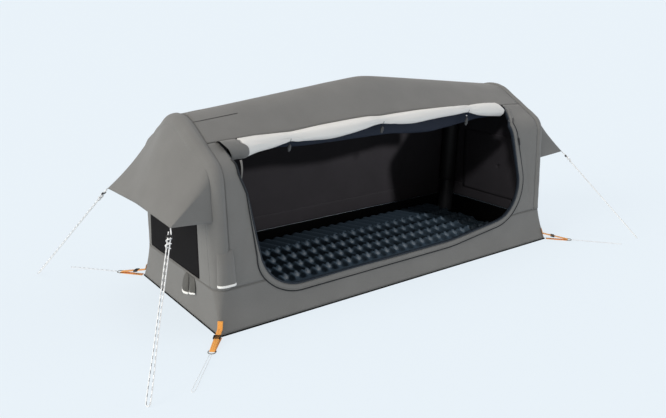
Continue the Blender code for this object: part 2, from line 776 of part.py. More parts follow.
# Air frame
def make_air_frame():
    """Two arch beams and the ridge beam, one air space filled from one valve."""
    beams = []
    for side in (-1, 1):
        rows = swept(GROUND_THICKNESS + GAP, side, around(BEAM_RADIUS, 0, RING_SIDES - 1))
        beams.append(loft("air_frame" if side < 0 else "arch_beam", rows, BLADDER))
    ridge = loft("ridge_beam", ring_rows(ridge_path(ARCH_X), RIDGE_BEAM_RADIUS), BLADDER)
    boolean(beams[0], ridge, "UNION")
    boolean(beams[0], beams[1], "UNION")


def ridge_path(reach):
    """The ridge beam's middle line, out to a reach at each end."""
    drop = CLOTH + GAP + RIDGE_SLEEVE_RADIUS
    points = [lifted(x, 0, ARCH_TOP) - UP * drop for x in stations()]
    share = (reach - points[-2].x) / (points[-1].x - points[-2].x)
    return [points[1].lerp(points[0], share)] + points[1:-1] + [points[-2].lerp(points[-1], share)]


def ring_rows(points, radius):
    """Rows of points round a path that runs along X."""
    rows = []
    for point in points:
        row = []
        for side in range(RING_SIDES):
            angle = 2 * math.pi * side / RING_SIDES
            row.append(point + Vector((0, radius * math.cos(angle), radius * math.sin(angle))))
        rows.append(row)
    return rows


def make_sleeves():
    section = around(SLEEVE_RADIUS, 0, RING_SIDES - 1)
    ridge = ridge_path(ARCH_X)
    sleeves = []
    for side, place in ((-1, "left"), (1, "right")):
        rows = swept(SLEEVE_HEM_HEIGHT, side, section)
        foot = Vector((side * ARCH_X, rows[0][0].y + SLEEVE_RADIUS, SLEEVE_HEM_HEIGHT))
        sleeve = sheet("arch_sleeve_" + place, rows, LINING, SLEEVE_WALL, foot, closed=True)
        ends = ridge[:2] if side < 0 else ridge[-2:]
        bore = loft("ridge_bore_" + place, ring_rows(ends, RIDGE_BEAM_RADIUS + 2 * GAP), LINING)
        boolean(sleeve, bore, "DIFFERENCE")
        sleeves.append(sleeve)
    reach = ARCH_X - SLEEVE_RADIUS - GAP
    path = ridge_path(reach)
    middle = path[len(path) // 2]
    rows = ring_rows(path, RIDGE_SLEEVE_RADIUS)
    sheet("ridge_sleeve", rows, LINING, SLEEVE_WALL, middle, closed=True)
    return sleeves


# Inflation valve
def valve_frame():
    """A frame at the leg's middle whose Z points out through the valve."""
    y, normal = front_surface(VALVE_HEIGHT)
    centre = Vector((-ARCH_X, y, VALVE_HEIGHT)) - normal * COVER_RADIUS
    out = normal * math.cos(VALVE_ANGLE) - ALONG * math.sin(VALVE_ANGLE)
    side = UP.cross(out).normalized()
    return framed(centre, side, out.cross(side), out)


def make_valve(sleeve, cover):
    place = valve_frame()
    inner = BEAM_RADIUS * FACET + GAP
    seat = COVER_RADIUS * FACET + GAP
    top = seat + VALVE_STAND
    profile = [
        (0, top), (VALVE_RADIUS, top), (VALVE_RADIUS, seat + VALVE_FLANGE),
        (VALVE_FLANGE_RADIUS, seat + VALVE_FLANGE), (VALVE_FLANGE_RADIUS, seat),
        (VALVE_RADIUS, seat), (VALVE_RADIUS, inner), (0, inner),
    ]
    turned_piece("valve_body", profile, BLACK_PLASTIC, place)
    cap_place = place @ Matrix.Translation((0, 0, top + GAP))
    cap_profile = [(0, CAP_THICKNESS), (CAP_RADIUS, CAP_THICKNESS), (CAP_RADIUS, 0), (0, 0)]
    cap = turned_piece("valve_cap", cap_profile, BLACK_PLASTIC, cap_place)
    grip_size = (2 * CAP_GRIP_SHARE * CAP_RADIUS, CAP_GRIP_WIDTH, 2 * CAP_GRIP_HEIGHT)
    grip_place = cap_place @ Matrix.Translation((0, 0, CAP_THICKNESS))
    boolean(cap, block("cap_grip", grip_size, BLACK_PLASTIC, grip_place), "UNION")
    bore_place = place @ Matrix.Translation((0, 0, COVER_RADIUS))
    for target in (sleeve, cover):
        bore = rod(target.name + "_bore", VALVE_RADIUS + GAP, 4 * CUT_OVERRUN, CANVAS, bore_place)
        boolean(target, bore, "DIFFERENCE")


def skin_point(along, height, stand):
    """A point over the front left leg: along is measured on the cloth, towards the door."""
    y, normal = front_surface(height)
    centre = Vector((-ARCH_X, y, height)) - normal * COVER_RADIUS
    angle = max(0, -along) / COVER_RADIUS
    out = normal * math.cos(angle) - ALONG * math.sin(angle)
    return centre + out * (COVER_RADIUS + stand) + ALONG * max(0, along)


def make_valve_flap():
    """A tongue of cloth over the valve, sewn at its top and open below."""
    rows = []
    for down in range(7):
        fall = down / 6
        height = FLAP_TOP + (FLAP_FOOT - FLAP_TOP) * fall
        swell = math.sin(math.pi / 2 * min(1, fall / FLAP_SWELL_SHARE))
        width = FLAP_TOP_SHARE + (1 - FLAP_TOP_SHARE) * fall
        row = []
        for across in range(7):
            place = across / 3 - 1
            along = place * (FLAP_DOOR_SIDE if place > 0 else FLAP_END_SIDE)
            bulge = 1 - (1 - FLAP_EDGE_SHARE) * place ** 4
            stand = GAP + FLAP_CLOTH + FLAP_STAND * swell * bulge
            row.append(skin_point(along * width, height, stand))
        rows.append(row)
    sheet("valve_flap", rows, CANVAS, FLAP_CLOTH, valve_frame().translation, pivot=rows[0][3].copy())


# Cable entry
def make_cable_flap(name, side):
    """Half a short sleeve of cloth that hangs over the cable hole, hinged at its top."""
    rows = []
    middle = CABLE_Y + side * (CABLE_FLAP_SPLIT + CABLE_FLAP_WIDTH) / 2
    for down in range(5):
        fall = down / 4
        height = CABLE_FLAP_TOP - CABLE_FLAP_LENGTH * fall
        swell = CABLE_FLAP_STAND * math.sin(math.pi / 2 * fall)
        row = []
        for across in range(6):
            place = 2 * across / 5 - 1
            stand = GAP + FLAP_CLOTH + swell * (1 - (1 - CABLE_FLAP_EDGE_SHARE) * place ** 2)
            y = middle + place * CABLE_FLAP_WIDTH / 2
            row.append(Vector((-skirt_half_length(height) - stand, y, height)))
        rows.append(row)
    pivot = Vector((rows[0][0].x, middle, rows[0][0].z))
    sheet(name, rows, CANVAS, FLAP_CLOTH, INSIDE, pivot=pivot)


# Door zip
def zip_points():
    """(point, outward normal) along the zip."""
    top = SEAM_HEIGHT - 2 * ROLL_BULGE
    arc = arch_outline(SKIRT_HEIGHT)[1:ARC_STEPS + 2]
    bends = [SKIRT_HEIGHT] + [point.y for point, _ in arc] + [top]
    path = door_path(ZIP_OFFSET)
    flat = []
    for here, there in zip(path, path[1:]):
        flat.append(here)
        cuts = [height for height in bends if min(here.y, there.y) < height < max(here.y, there.y)]
        for height in sorted(cuts, reverse=there.y < here.y):
            flat.append(here.lerp(there, (height - here.y) / (there.y - here.y)))
    points = []
    for x_z in flat:
        if x_z.y <= top:
            y, normal = front_surface(x_z.y)
            points.append((lifted(x_z.x, y, x_z.y), normal))
    return points


def make_zip():
    points = zip_points()
    rows = []
    for here, (point, normal) in enumerate(points):
        before = points[max(0, here - 1)][0]
        after = points[min(len(points) - 1, here + 1)][0]
        across = (after - before).normalized().cross(normal).normalized() * ZIP_WIDTH / 2
        raised = point + normal * (ZIP_SEAT + ZIP_THICKNESS)
        rows.append([raised - across, raised + across])
    sheet("door_zip", rows, ZIP_TAPE, ZIP_THICKNESS, INSIDE)


def slider_frame():
    """At the zip's face on its straight right side: X down the zip, Z out of the wall."""
    samples = door_path(ZIP_OFFSET)
    top, low = samples[-2], samples[-3]
    down = []
    for height in (SLIDER_HEIGHT, SLIDER_HEIGHT - SLIDER_LENGTH):
        share = (height - low.y) / (top.y - low.y)
        y, normal = front_surface(height)
        down.append(Vector((low.x + (top.x - low.x) * share, y, height)))
    along = (down[1] - down[0]).normalized()
    normal = front_surface(SLIDER_HEIGHT)[1]
    out = (normal - along * normal.dot(along)).normalized()
    face = down[0] + out * (ZIP_SEAT + ZIP_THICKNESS + GAP)
    return framed(face, along, out.cross(along), out)


def make_slider():
    frame = slider_frame()
    size = (SLIDER_LENGTH, SLIDER_WIDTH, SLIDER_THICKNESS)
    middle = frame @ Matrix.Translation((0, 0, SLIDER_THICKNESS / 2))
    slider = block("zip_slider", size, BLACK_PLASTIC, middle)
    edge = slider.modifiers.new("edge", "BEVEL")
    edge.width = SLIDER_THICKNESS / 4
    edge.segments = 2
    lift = SLIDER_THICKNESS + GAP + PULL_THICKNESS / 2
    pivot = frame @ Matrix.Translation((0, 0, lift))
    build = bmesh.new()
    bmesh.ops.create_cube(build, size=1)
    bmesh.ops.scale(build, vec=(PULL_LENGTH, PULL_WIDTH, PULL_THICKNESS), verts=build.verts)
    bmesh.ops.translate(build, vec=(PULL_LENGTH / 2, 0, 0), verts=build.verts)
    placed("zip_pull", mesh_of("zip_pull", build), BLACK_PLASTIC, pivot)


# Rolled door and net
def roll_stations(left, right):
    """Places along a roll, closer together at the ties."""
    places = {-left, right}
    for tie in TIE_PLACES:
        for side in (-1, 1):
            for offset in (TIE_WIDTH / 2, TIE_WIDTH, 2 * TIE_WIDTH, 4 * TIE_WIDTH, 8 * TIE_WIDTH):
                x = tie + side * offset
                if -left < x < right:
                    places.add(x)
    return sorted(places)


def fullness(x):
    """0 under a tie, 1 well away from the ties."""
    nearest = min(abs(x - tie) for tie in TIE_PLACES)
    reach = max(0, nearest - TIE_WIDTH) / (4 * TIE_WIDTH)
    return 1 - math.exp(-reach * reach)


def seam_at(x):
    return lifted(x, -DOOR_SEAM_Y, SEAM_HEIGHT).z


def roll_centre(x):
    """(point, half height) of the rolled door at a place along it."""
    radius = ROLL_PINCH + (ROLL_BULGE - ROLL_PINCH) * fullness(x)
    return Vector((x, -DOOR_SEAM_Y - ROLL_STAND_OFF, seam_at(x) - radius)), radius


def oval(centre, half_depth, half_height, first_angle):
    """A loop round a centre, across X."""
    loop = []
    for step in range(RING_SIDES):
        angle = first_angle + 2 * math.pi * step / RING_SIDES
        loop.append(centre + Vector((0, half_depth * math.cos(angle), half_height * math.sin(angle))))
    return loop


def roll_rows(places, centre_of, tip_of, depth_share, tip_angle):
    """Sections along a roll: an oval, drawn up at one place to a tongue at the seam."""
    rows = []
    for x in places:
        centre, radius = centre_of(x)
        row = oval(centre, radius * depth_share, radius, tip_angle)
        row[0] = row[0].lerp(tip_of(x), min(1, 2 * fullness(x)))
        rows.append(row)
    return rows


def make_rolls():
    def door_tip(x):
        return Vector((x, -DOOR_SEAM_Y, seam_at(x) - GAP))

    places = roll_stations(ROLL_LEFT, ROLL_RIGHT)
    rows = roll_rows(places, roll_centre, door_tip, ROLL_DEPTH_SHARE, ROLL_TIP_ANGLE)
    loft("door_roll", rows, DOOR_LINING)

    def net_centre(x):
        radius = NET_ROLL_PINCH + (NET_ROLL_BULGE - NET_ROLL_PINCH) * fullness(x)
        drop = NET_ROLL_DROP + radius + NET_ROLL_SAG * fullness(x)
        return Vector((x, -DOOR_SEAM_Y + NET_ROLL_INSET, seam_at(x) - drop)), radius

    def net_tip(x):
        y = -DOOR_SEAM_Y + NET_TONGUE_INSET
        return lifted(x, y, roof_height(y)) - UP * NET_TONGUE_DROP

    places = roll_stations(NET_ROLL_LEFT, NET_ROLL_RIGHT)
    rows = roll_rows(places, net_centre, net_tip, 1, NET_TIP_ANGLE)
    loft("net_roll", rows, NET_DOOR)


def make_ties():
    for x, place in zip(TIE_PLACES, ("left", "middle", "right")):
        centre, radius = roll_centre(x)
        stand = (2 * GAP + TIE_THICKNESS) / FACET
        outer = radius + stand
        rows = []
        for end in (x - TIE_WIDTH / 2, x + TIE_WIDTH / 2):
            middle = roll_centre(end)[0]
            rows.append(oval(middle, radius * ROLL_DEPTH_SHARE + stand, outer, ROLL_TIP_ANGLE))
        sheet("door_tie_" + place, rows, NET_DOOR, TIE_THICKNESS, centre, closed=True)
        loop_radius = TIE_THICKNESS * TOGGLE_LOOP_SHARE
        pivot = centre - UP * (outer * FACET + GAP + loop_radius)
        build = bmesh.new()
        bmesh.ops.create_cube(build, size=1)
        cord = (TOGGLE_CORD_WIDTH, TIE_THICKNESS, TOGGLE_DROP)
        bmesh.ops.scale(build, vec=cord, verts=build.verts)
        bmesh.ops.translate(build, vec=(0, 0, -TOGGLE_DROP / 2), verts=build.verts)
        toggle = placed(
            "tie_toggle_" + place, mesh_of("tie_toggle", build), BLACK_PLASTIC, Matrix.Translation(pivot)
        )
        low = Matrix.Translation(pivot - UP * TOGGLE_DROP)
        barrel = rod("toggle_barrel_" + place, TOGGLE_RADIUS, TOGGLE_LENGTH, BLACK_PLASTIC, low, 8)
        boolean(toggle, barrel, "UNION")
        turned = Matrix.Translation(pivot) @ Matrix.Rotation(math.pi / 2, 4, "Y")
        loop = rod("toggle_loop_" + place, loop_radius, TOGGLE_CORD_WIDTH, BLACK_PLASTIC, turned, 8)
        boolean(toggle, loop, "UNION")


# Air mat
def make_mat():
    """A mat with staggered rows of knobs, two columns high and one low, drawn in to a welded edge."""
    columns = 3 * MAT_KNOBS_LONG
    rows = 2 * MAT_KNOBS_WIDE
    foot = GROUND_THICKNESS + GAP
    build = bmesh.new()
    grid = []
    for row in range(rows + 1):
        line = []
        for column in range(columns + 1):
            raised = row % 2 and (column + row // 2) % 3
            height = MAT_THICKNESS if raised else MAT_THICKNESS - MAT_KNOB
            if row in (0, rows) or column in (0, columns):
                height = MAT_THICKNESS * MAT_EDGE_SHARE
            x = MAT_LENGTH * (column / columns - 1 / 2)
            y = MAT_WIDTH * (row / rows - 1 / 2)
            line.append(build.verts.new((x, y, foot + height)))
        grid.append(line)
    for low, high in zip(grid, grid[1:]):
        for here in range(columns):
            build.faces.new((low[here], low[here + 1], high[here + 1], high[here]))
    border = grid[0] + [line[-1] for line in grid[1:]] + grid[-1][-2::-1]
    border += [line[0] for line in grid[-2:0:-1]]
    under = [build.verts.new((vert.co.x, vert.co.y, foot)) for vert in border]
    for here, vert in enumerate(border):
        beside = (here + 1) % len(border)
        build.faces.new((vert, under[here], under[beside], border[beside]))
    build.faces.new(under)
    placed("air_mat", mesh_of("air_mat", build), MAT_CLOTH)


# Corner anchors
def corner_frame(side_x, side_y):
    """At a corner of the groundsheet: X outward along the ground, Z up."""
    out = Vector((side_x * math.cos(ANCHOR_ANGLE), side_y * math.sin(ANCHOR_ANGLE), 0))
    corner = Vector((side_x * HALF_LENGTH, side_y * HALF_WIDTH, 0))
    return framed(corner, out, UP.cross(out), UP)


def corner_reach(height):
    """Where the skirt's rounded corner stands along the anchor's line, from the sheet's corner."""
    radius = skirt_corner(height)
    x = skirt_half_length(height) - radius - HALF_LENGTH
    y = skirt_half_width(height) - radius - HALF_WIDTH
    return x * math.cos(ANCHOR_ANGLE) + y * math.sin(ANCHOR_ANGLE) + radius


RING_HEIGHT = GAP + WEBBING + GAP + RING_WIRE


def strap_path():
    """(reach, height) of the webbing's outer face, from the tab on the wall round the ring's bar."""
    seat = 2 * GAP + WEBBING
    tab = [TAB_TOP + (TAB_LEAVE - TAB_TOP) * step / 3 for step in range(4)]
    path = [Vector((corner_reach(height) + seat, height)) for height in tab]
    wrap = RING_WIRE + GAP + WEBBING
    for step in range(7):
        angle = math.pi / 2 - math.pi * step / 6
        path.append(Vector((
            RING_REACH + wrap * math.cos(angle), RING_HEIGHT + wrap * math.sin(angle)
        )))
    path.append(Vector((GAP, GAP)))
    return path


def strap_line():
    """Start and end of the webbing's straight stretch that the buckle slides on."""
    path = strap_path()
    return path[3], path[4]


def make_anchor(side_x, side_y, place):
    frame = corner_frame(side_x, side_y)
    half = WEBBING_WIDTH / 2
    rows = []
    for point in strap_path():
        rows.append([frame @ Vector((point.x, side, point.y)) for side in (-half, half)])
    bar = frame @ Vector((RING_REACH, 0, RING_HEIGHT))
    sheet("anchor_strap_" + place, rows, ORANGE, WEBBING, bar)
    top, low = strap_line()
    along = (low - top).normalized()
    share = (BUCKLE_REACH - top.x) / (low.x - top.x)
    middle = top.lerp(low, share)
    out = Vector((-along.y, along.x))
    if out.y < 0:
        out = -out
    middle = middle - out * WEBBING / 2
    turn = frame.to_3x3()
    first = turn @ Vector((along.x, 0, along.y))
    third = turn @ Vector((out.x, 0, out.y))
    spot = framed(frame @ Vector((middle.x, 0, middle.y)), first, third.cross(first), third)
    size = (BUCKLE_LENGTH, BUCKLE_WIDTH, BUCKLE_THICKNESS)
    buckle = block("anchor_buckle_" + place, size, BLACK_PLASTIC, spot)
    way = (2 * BUCKLE_LENGTH, WEBBING_WIDTH + 4 * GAP, WEBBING + 4 * GAP)
    boolean(buckle, block("buckle_way_" + place, way, BLACK_PLASTIC, spot), "DIFFERENCE")
    slot_length = (BUCKLE_LENGTH - 3 * BUCKLE_BAR) / 2
    for side in (-1, 1):
        reach = side * (slot_length + BUCKLE_BAR) / 2
        shift = Matrix.Translation((reach, 0, BUCKLE_THICKNESS / 2))
        slot_size = (slot_length, WEBBING_WIDTH, BUCKLE_THICKNESS)
        slot = block("buckle_slot_" + place, slot_size, BLACK_PLASTIC, spot @ shift)
        boolean(buckle, slot, "DIFFERENCE")
    make_ring(frame, place)
    make_anchor_cord(frame, place)


def make_ring(frame, place):
    """A wire ring with a straight bar in the webbing and a rounded tip for the cord."""
    tip = RING_LENGTH - RING_HALF_WIDTH
    outline = [(0, -RING_HALF_WIDTH), (0, 0), (0, RING_HALF_WIDTH), (tip, RING_HALF_WIDTH)]
    for step in range(1, 6):
        angle = math.pi / 2 - math.pi * step / 6
        outline.append((tip + RING_HALF_WIDTH * math.cos(angle), RING_HALF_WIDTH * math.sin(angle)))
    outline.append((tip, -RING_HALF_WIDTH))
    points = [frame @ Vector((RING_REACH + reach, side, RING_HEIGHT)) for reach, side in outline]
    tube("anchor_ring_" + place, points, RING_WIRE, STEEL, 1, cyclic=True)


def smooth(route, steps):
    """Points on a smooth curve through a route's own points."""
    padded = [route[0] * 2 - route[1]] + route + [route[-1] * 2 - route[-2]]
    points = []
    for before, here, there, after in zip(padded, padded[1:], padded[2:], padded[3:]):
        span = (there - here).length
        lead = (there - before) * span / max(span, (there - before).length)
        trail = (after - here) * span / max(span, (after - here).length)
        for step in range(steps):
            share = step / steps
            square = share * share
            cube = square * share
            points.append(
                here * (2 * cube - 3 * square + 1) + lead * (cube - 2 * square + share)
                + there * (3 * square - 2 * cube) + trail * (cube - square)
            )
    points.append(route[-1])
    return points


def laid_route(route, start, end):
    """A route's points in place between a line's upper end and its peg."""
    along = (end - start).normalized()
    side = UP.cross(along).normalized()
    return [start + along * reach + side * offset for reach, offset in route]


def make_anchor_cord(frame, place):
    start = frame @ Vector((RING_REACH + RING_LENGTH + RING_WIRE - CORD_SET, 0, RING_HEIGHT))
    end = frame @ Vector((RING_REACH + RING_LENGTH + CORD_ROUTE[5][0], 0, CORD_RADIUS + GAP))
    points = smooth(laid_route(CORD_ROUTE, start, end), 2)
    tube("anchor_cord_" + place, points, CORD_RADIUS, ROPE, 2)


# Guy lines
def guy_ends(side_x, side_y):
    """The hood's corner and the peg's place on the ground."""
    x = side_x * (HALF_LENGTH + GUY_PEG_REACH)
    y = side_y * (HALF_WIDTH + GUY_PEG_SIDE)
    return hood_corner(side_x, side_y), Vector((x, y, 0))


def make_guy(side_x, side_y, place):
    top, peg = guy_ends(side_x, side_y)
    points = smooth(laid_route(GUY_ROUTE, top, peg), 2)
    tube("guy_rope_" + place, points, ROPE_RADIUS, ROPE, 2)
    along = (peg - top).normalized()
    side = UP.cross(along).normalized()
    spot = framed(top + along * RUNNER_PLACE, along, side, along.cross(side))
    size = (RUNNER_LENGTH, RUNNER_WIDTH, RUNNER_THICKNESS)
    runner = block("guy_runner_" + place, size, BLACK_PLASTIC, spot)
    for hand in (-1, 1):
        through = Matrix.Rotation(math.pi / 2, 4, "Y")
        hole = spot @ Matrix.Translation((0, hand * RUNNER_BORE_SIDE, 0)) @ through
        bore = rod("runner_bore", ROPE_RADIUS + 2 * GAP, 2 * RUNNER_LENGTH, BLACK_PLASTIC, hole, 8)
        boolean(runner, bore, "DIFFERENCE")


def main():
    make_groundsheet()
    make_skirt()
    make_front_panel("front_panel_left", -1)
    make_front_panel("front_panel_right", 1)
    make_back_panel()
    make_roof("roof_front", -1)
    make_roof("roof_back", 1)
    cover = make_arch_cover("arch_cover_left", -1)
    make_arch_cover("arch_cover_right", 1)
    make_end(-1, "left")
    make_end(1, "right")
    make_hood("hood_left", -1)
    make_hood("hood_right", 1)
    make_air_frame()
    sleeves = make_sleeves()
    make_valve(sleeves[0], cover)
    make_valve_flap()
    make_cable_flap("cable_flap_front", -1)
    make_cable_flap("cable_flap_back", 1)
    make_zip()
    make_slider()
    make_rolls()
    make_ties()
    make_mat()
    for side_x, end in ((-1, "left"), (1, "right")):
        for side_y, face in ((-1, "front"), (1, "back")):
            place = face + "_" + end
            make_anchor(side_x, side_y, place)
            make_guy(side_x, side_y, place)


main()
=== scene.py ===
# %% [markdown]
# # Dressing an inflatable tent
#
# A one-person tent stands on two air-filled arches joined by a ridge beam. A cloth shell is sewn round
# them, and a bathtub floor closes it below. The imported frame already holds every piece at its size.
# This lesson gives each one its finish: cloth that puckers at its seams, a rolled door held by ties,
# a knobbed air mat, webbing anchors and doubled guy lines. Lengths are in metres, +Z is up, and the
# door faces -Y.

# %% The frame
import math

import bmesh
import bpy
from mathutils import Matrix, Vector, noise


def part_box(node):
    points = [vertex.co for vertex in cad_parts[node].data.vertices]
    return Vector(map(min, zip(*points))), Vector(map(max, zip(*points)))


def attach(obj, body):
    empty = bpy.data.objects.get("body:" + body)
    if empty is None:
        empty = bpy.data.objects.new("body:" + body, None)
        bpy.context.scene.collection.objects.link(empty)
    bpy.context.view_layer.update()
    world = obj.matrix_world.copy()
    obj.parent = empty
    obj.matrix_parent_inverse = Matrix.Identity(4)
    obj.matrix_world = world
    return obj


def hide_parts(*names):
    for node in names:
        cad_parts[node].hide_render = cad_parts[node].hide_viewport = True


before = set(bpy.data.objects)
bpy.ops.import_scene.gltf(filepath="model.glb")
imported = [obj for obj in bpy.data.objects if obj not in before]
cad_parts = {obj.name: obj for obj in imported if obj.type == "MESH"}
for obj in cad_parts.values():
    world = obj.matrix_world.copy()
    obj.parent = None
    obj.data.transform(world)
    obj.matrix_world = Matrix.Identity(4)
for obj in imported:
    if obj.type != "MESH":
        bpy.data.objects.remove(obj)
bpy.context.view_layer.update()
UP = Vector((0, 0, 1))
ALONG = Vector((1, 0, 0))

# %% [markdown]
# ## Camera, floor and light
#
# The camera comes first, because everything is judged through it. It could be placed by eye, but the
# photograph's parallel edges give its bearing, height and lens, so these are written as numbers.

# %% Camera
AZIMUTH = math.radians(-35.909)
ELEVATION = math.radians(16.834)
CAMERA_DISTANCE = 4.261
TARGET = Vector((-0.079, 0.162, 0.274))
back = Vector((
    math.sin(AZIMUTH) * math.cos(ELEVATION), -math.cos(AZIMUTH) * math.cos(ELEVATION), math.sin(ELEVATION)
))


def linked(name, data, *finishes):
    """An object in the scene for a mesh, a curve, a camera or a lamp."""
    for finish in finishes:
        data.materials.append(finish)
    made = bpy.data.objects.new(name, data)
    bpy.context.scene.collection.objects.link(made)
    return made


camera = linked("camera", bpy.data.cameras.new("camera"))
camera.data.lens = 37.135
camera.data.sensor_width = 36
camera.data.clip_end = 10000
camera.location = TARGET + back * CAMERA_DISTANCE
camera.rotation_mode = "QUATERNION"
camera.rotation_quaternion = (-back).to_track_quat("-Z", "Y")
bpy.context.scene.camera = camera
print("camera at", [round(value, 3) for value in camera.location])

# %% [markdown]
# Every finish below is a tree of nodes. A node written out takes several lines, so one function adds it
# with its settings and links, and another reads colours in the one form that they are given in.

# %% Nodes and colours
def add(tree, kind, inputs=None, **settings):
    """Adds one node with its settings. An input is a value, or the output of another node."""
    made = tree.nodes.new(kind)
    for name, value in settings.items():
        setattr(made, name, value)
    for place, value in (inputs or {}).items():
        if isinstance(value, bpy.types.NodeSocket):
            tree.links.new(value, made.inputs[place])
        else:
            made.inputs[place].default_value = value
    return made


def colour(code):
    """An sRGB hex code as linear red, green, blue and alpha."""
    channels = [int(code[place:place + 2], 16) / 255 for place in (1, 3, 5)]
    linear = [c / 12.92 if c <= 0.04045 else ((c + 0.055) / 1.055) ** 2.4 for c in channels]
    return (*linear, 1)


def fresh(name):
    """A new material, its node tree and its shader."""
    made = bpy.data.materials.new(name)
    made.use_nodes = True
    return made, made.node_tree, made.node_tree.nodes["Principled BSDF"]


def meshed(name, build):
    """The mesh that was built."""
    mesh = bpy.data.meshes.new(name)
    build.to_mesh(mesh)
    build.free()
    return mesh

# %% [markdown]
# The floor is so pale that it reads as the background. A wide sun gives soft shade without hot spots.

# %% Floor and light
FLOOR_SIZE, COVE_RISE, COVE_SHARE = 4000, 20, 0.4
FLOOR_DROP = 0.0008
FLOOR_SHADE, FLOOR_GLOW, WORLD_GLOW = 0.16, 0.84, 0.5
SKY = "#eaf3fa"


def lit_floor():
    """A seamless studio floor that glows a little, so that shadows on it stay faint."""
    made, _, shader = fresh("studio_floor")
    shade = [channel * FLOOR_SHADE for channel in colour(SKY)[:3]]
    shader.inputs["Base Color"].default_value = (*shade, 1)
    shader.inputs["Roughness"].default_value = 1
    shader.inputs["Specular IOR Level"].default_value = 0
    shader.inputs["Emission Color"].default_value = colour(SKY)
    shader.inputs["Emission Strength"].default_value = FLOOR_GLOW
    return made


build = bmesh.new()
bmesh.ops.create_grid(build, x_segments=4, y_segments=4, size=FLOOR_SIZE / 2)
for spot in build.verts:
    far = max(abs(spot.co.x), abs(spot.co.y)) > FLOOR_SIZE * COVE_SHARE
    spot.co.z = COVE_RISE if far else -FLOOR_DROP
floor = linked("floor", meshed("floor", build), lit_floor())

world = bpy.data.worlds.new("studio")
world.use_nodes = True
backdrop = world.node_tree.nodes["Background"]
backdrop.inputs["Color"].default_value = colour("#f6f5f2")
backdrop.inputs["Strength"].default_value = WORLD_GLOW
bpy.context.scene.world = world
bpy.context.scene.view_settings.view_transform = "Standard"

SUNS = (
    # Name, where the light comes from, strength, width in degrees, colour
    ("key", (-1.0, 0.02, 0.38), 1.98, 40, "#fffaf1"),
    ("top", (0.05, 0.10, 1.0), 0.80, 50, "#f4f8ff"),
    ("fill", (1.0, -0.5, 0.45), 0.50, 50, "#eef4ff"),
)
for name, source, strength, width, tint in SUNS:
    lamp = bpy.data.lights.new(name, "SUN")
    lamp.energy = strength
    lamp.angle = math.radians(width)
    lamp.color = colour(tint)[:3]
    sun = linked(name, lamp)
    sun.rotation_mode = "QUATERNION"
    sun.rotation_quaternion = Vector(source).to_track_quat("Z", "Y")

print("lights:", [row[0] for row in SUNS])

# %% [markdown]
# ## Cloths and films
#
# The shell is technical cotton: cotton and polyester spun together, dyed grey, woven plain and calendered,
# so it is matt, a little warm, and slightly uneven in colour. Inside it has a dark coating. The threads
# are half a millimetre apart, too fine for this picture, so they are drawn 3 mm apart and very shallow.
# Each cloth piece carries a UV map in metres, because a weave has to follow the sheet and not the room.

# %% Cloth materials
WAVE_PERIOD = 2 * math.pi / 20
DYE_LOW, DYE_HIGH = 0.7, 1.3
SLUB_FINENESS = 60
WEAVE_STRENGTH = 0.6


def woven(name, code, thread, relief, roughness, sheen=0.0, uneven=0.08, spots=6.0, shine=0.3):
    """Cloth: threads crossing along the UV map, and dye that took a little unevenly."""
    made, tree, shader = fresh(name)
    shader.inputs["Roughness"].default_value = roughness
    shader.inputs["Sheen Weight"].default_value = sheen
    shader.inputs["Specular IOR Level"].default_value = shine
    threads = add(tree, "ShaderNodeUVMap", uv_map="cloth").outputs["UV"]
    warp, weft = [
        add(tree, "ShaderNodeTexWave", {"Vector": threads, "Scale": WAVE_PERIOD / thread},
            bands_direction=way).outputs["Fac"]
        for way in ("X", "Y")
    ]
    crossed = add(tree, "ShaderNodeMath", {0: warp, 1: weft}, operation="MULTIPLY").outputs[0]
    place = add(tree, "ShaderNodeTexCoord").outputs["Object"]
    cloud = add(tree, "ShaderNodeTexNoise", {"Vector": place, "Scale": spots, "Detail": 5.0})
    slub = add(tree, "ShaderNodeTexNoise", {"Vector": place, "Scale": SLUB_FINENESS * spots, "Detail": 2.0})
    both = add(tree, "ShaderNodeMath", {0: cloud.outputs["Fac"], 1: slub.outputs["Fac"]}).outputs[0]
    dye = add(
        tree, "ShaderNodeMapRange",
        {
            "Value": both, "From Min": DYE_LOW, "From Max": DYE_HIGH,
            "To Min": 1 - uneven, "To Max": 1 + uneven,
        },
    ).outputs["Result"]
    tint = add(
        tree, "ShaderNodeVectorMath", {0: colour(code)[:3], "Scale": dye}, operation="SCALE"
    ).outputs["Vector"]
    tree.links.new(tint, shader.inputs["Base Color"])
    lumps = add(tree, "ShaderNodeMath", {0: crossed, 1: slub.outputs["Fac"]}).outputs[0]
    bump = add(tree, "ShaderNodeBump", {"Height": lumps, "Distance": relief, "Strength": WEAVE_STRENGTH})
    tree.links.new(bump.outputs["Normal"], shader.inputs["Normal"])
    return made


CANVAS = woven("technical_cotton", "#767573", 0.003, 0.00018, 0.9, sheen=0.15)
LINING = woven("blackout_coating", "#252326", 0.004, 0.0001, 0.8, uneven=0.14, shine=0.15)
# Painted shade: a near-black copy of the coating, used on the roof's inner side and on the disc at the roll's
# end, for the dark that light does not reach.
PAINTED_SHADE_BLACK = woven("painted_shade_black", "#060606", 0.004, 0.0001, 0.9, shine=0.05)
SLEEVE = woven("black_polyester", "#101012", 0.002, 0.0001, 0.62)
TUB = woven("coated_floor_cloth", "#08090b", 0.002, 0.0002, 0.8, shine=0.1)
NET = woven("fine_window_net", "#1b1a1b", 0.0022, 0.0004, 0.9, uneven=0.15, spots=3.0, shine=0.08)
NET_DOOR = woven("navy_netting", "#1a2231", 0.0022, 0.0003, 0.75)
SILVER = woven("pale_door_lining", "#e2e0dd", 0.0025, 0.0001, 0.72, uneven=0.03)
BINDING = woven("navy_binding_tape", "#222a34", 0.0015, 0.0001, 0.55)
FLAP_CLOTH_DARK = woven("cable_flap_cloth", "#5c5b58", 0.003, 0.00018, 0.9, sheen=0.1, uneven=0.2, spots=30.0)
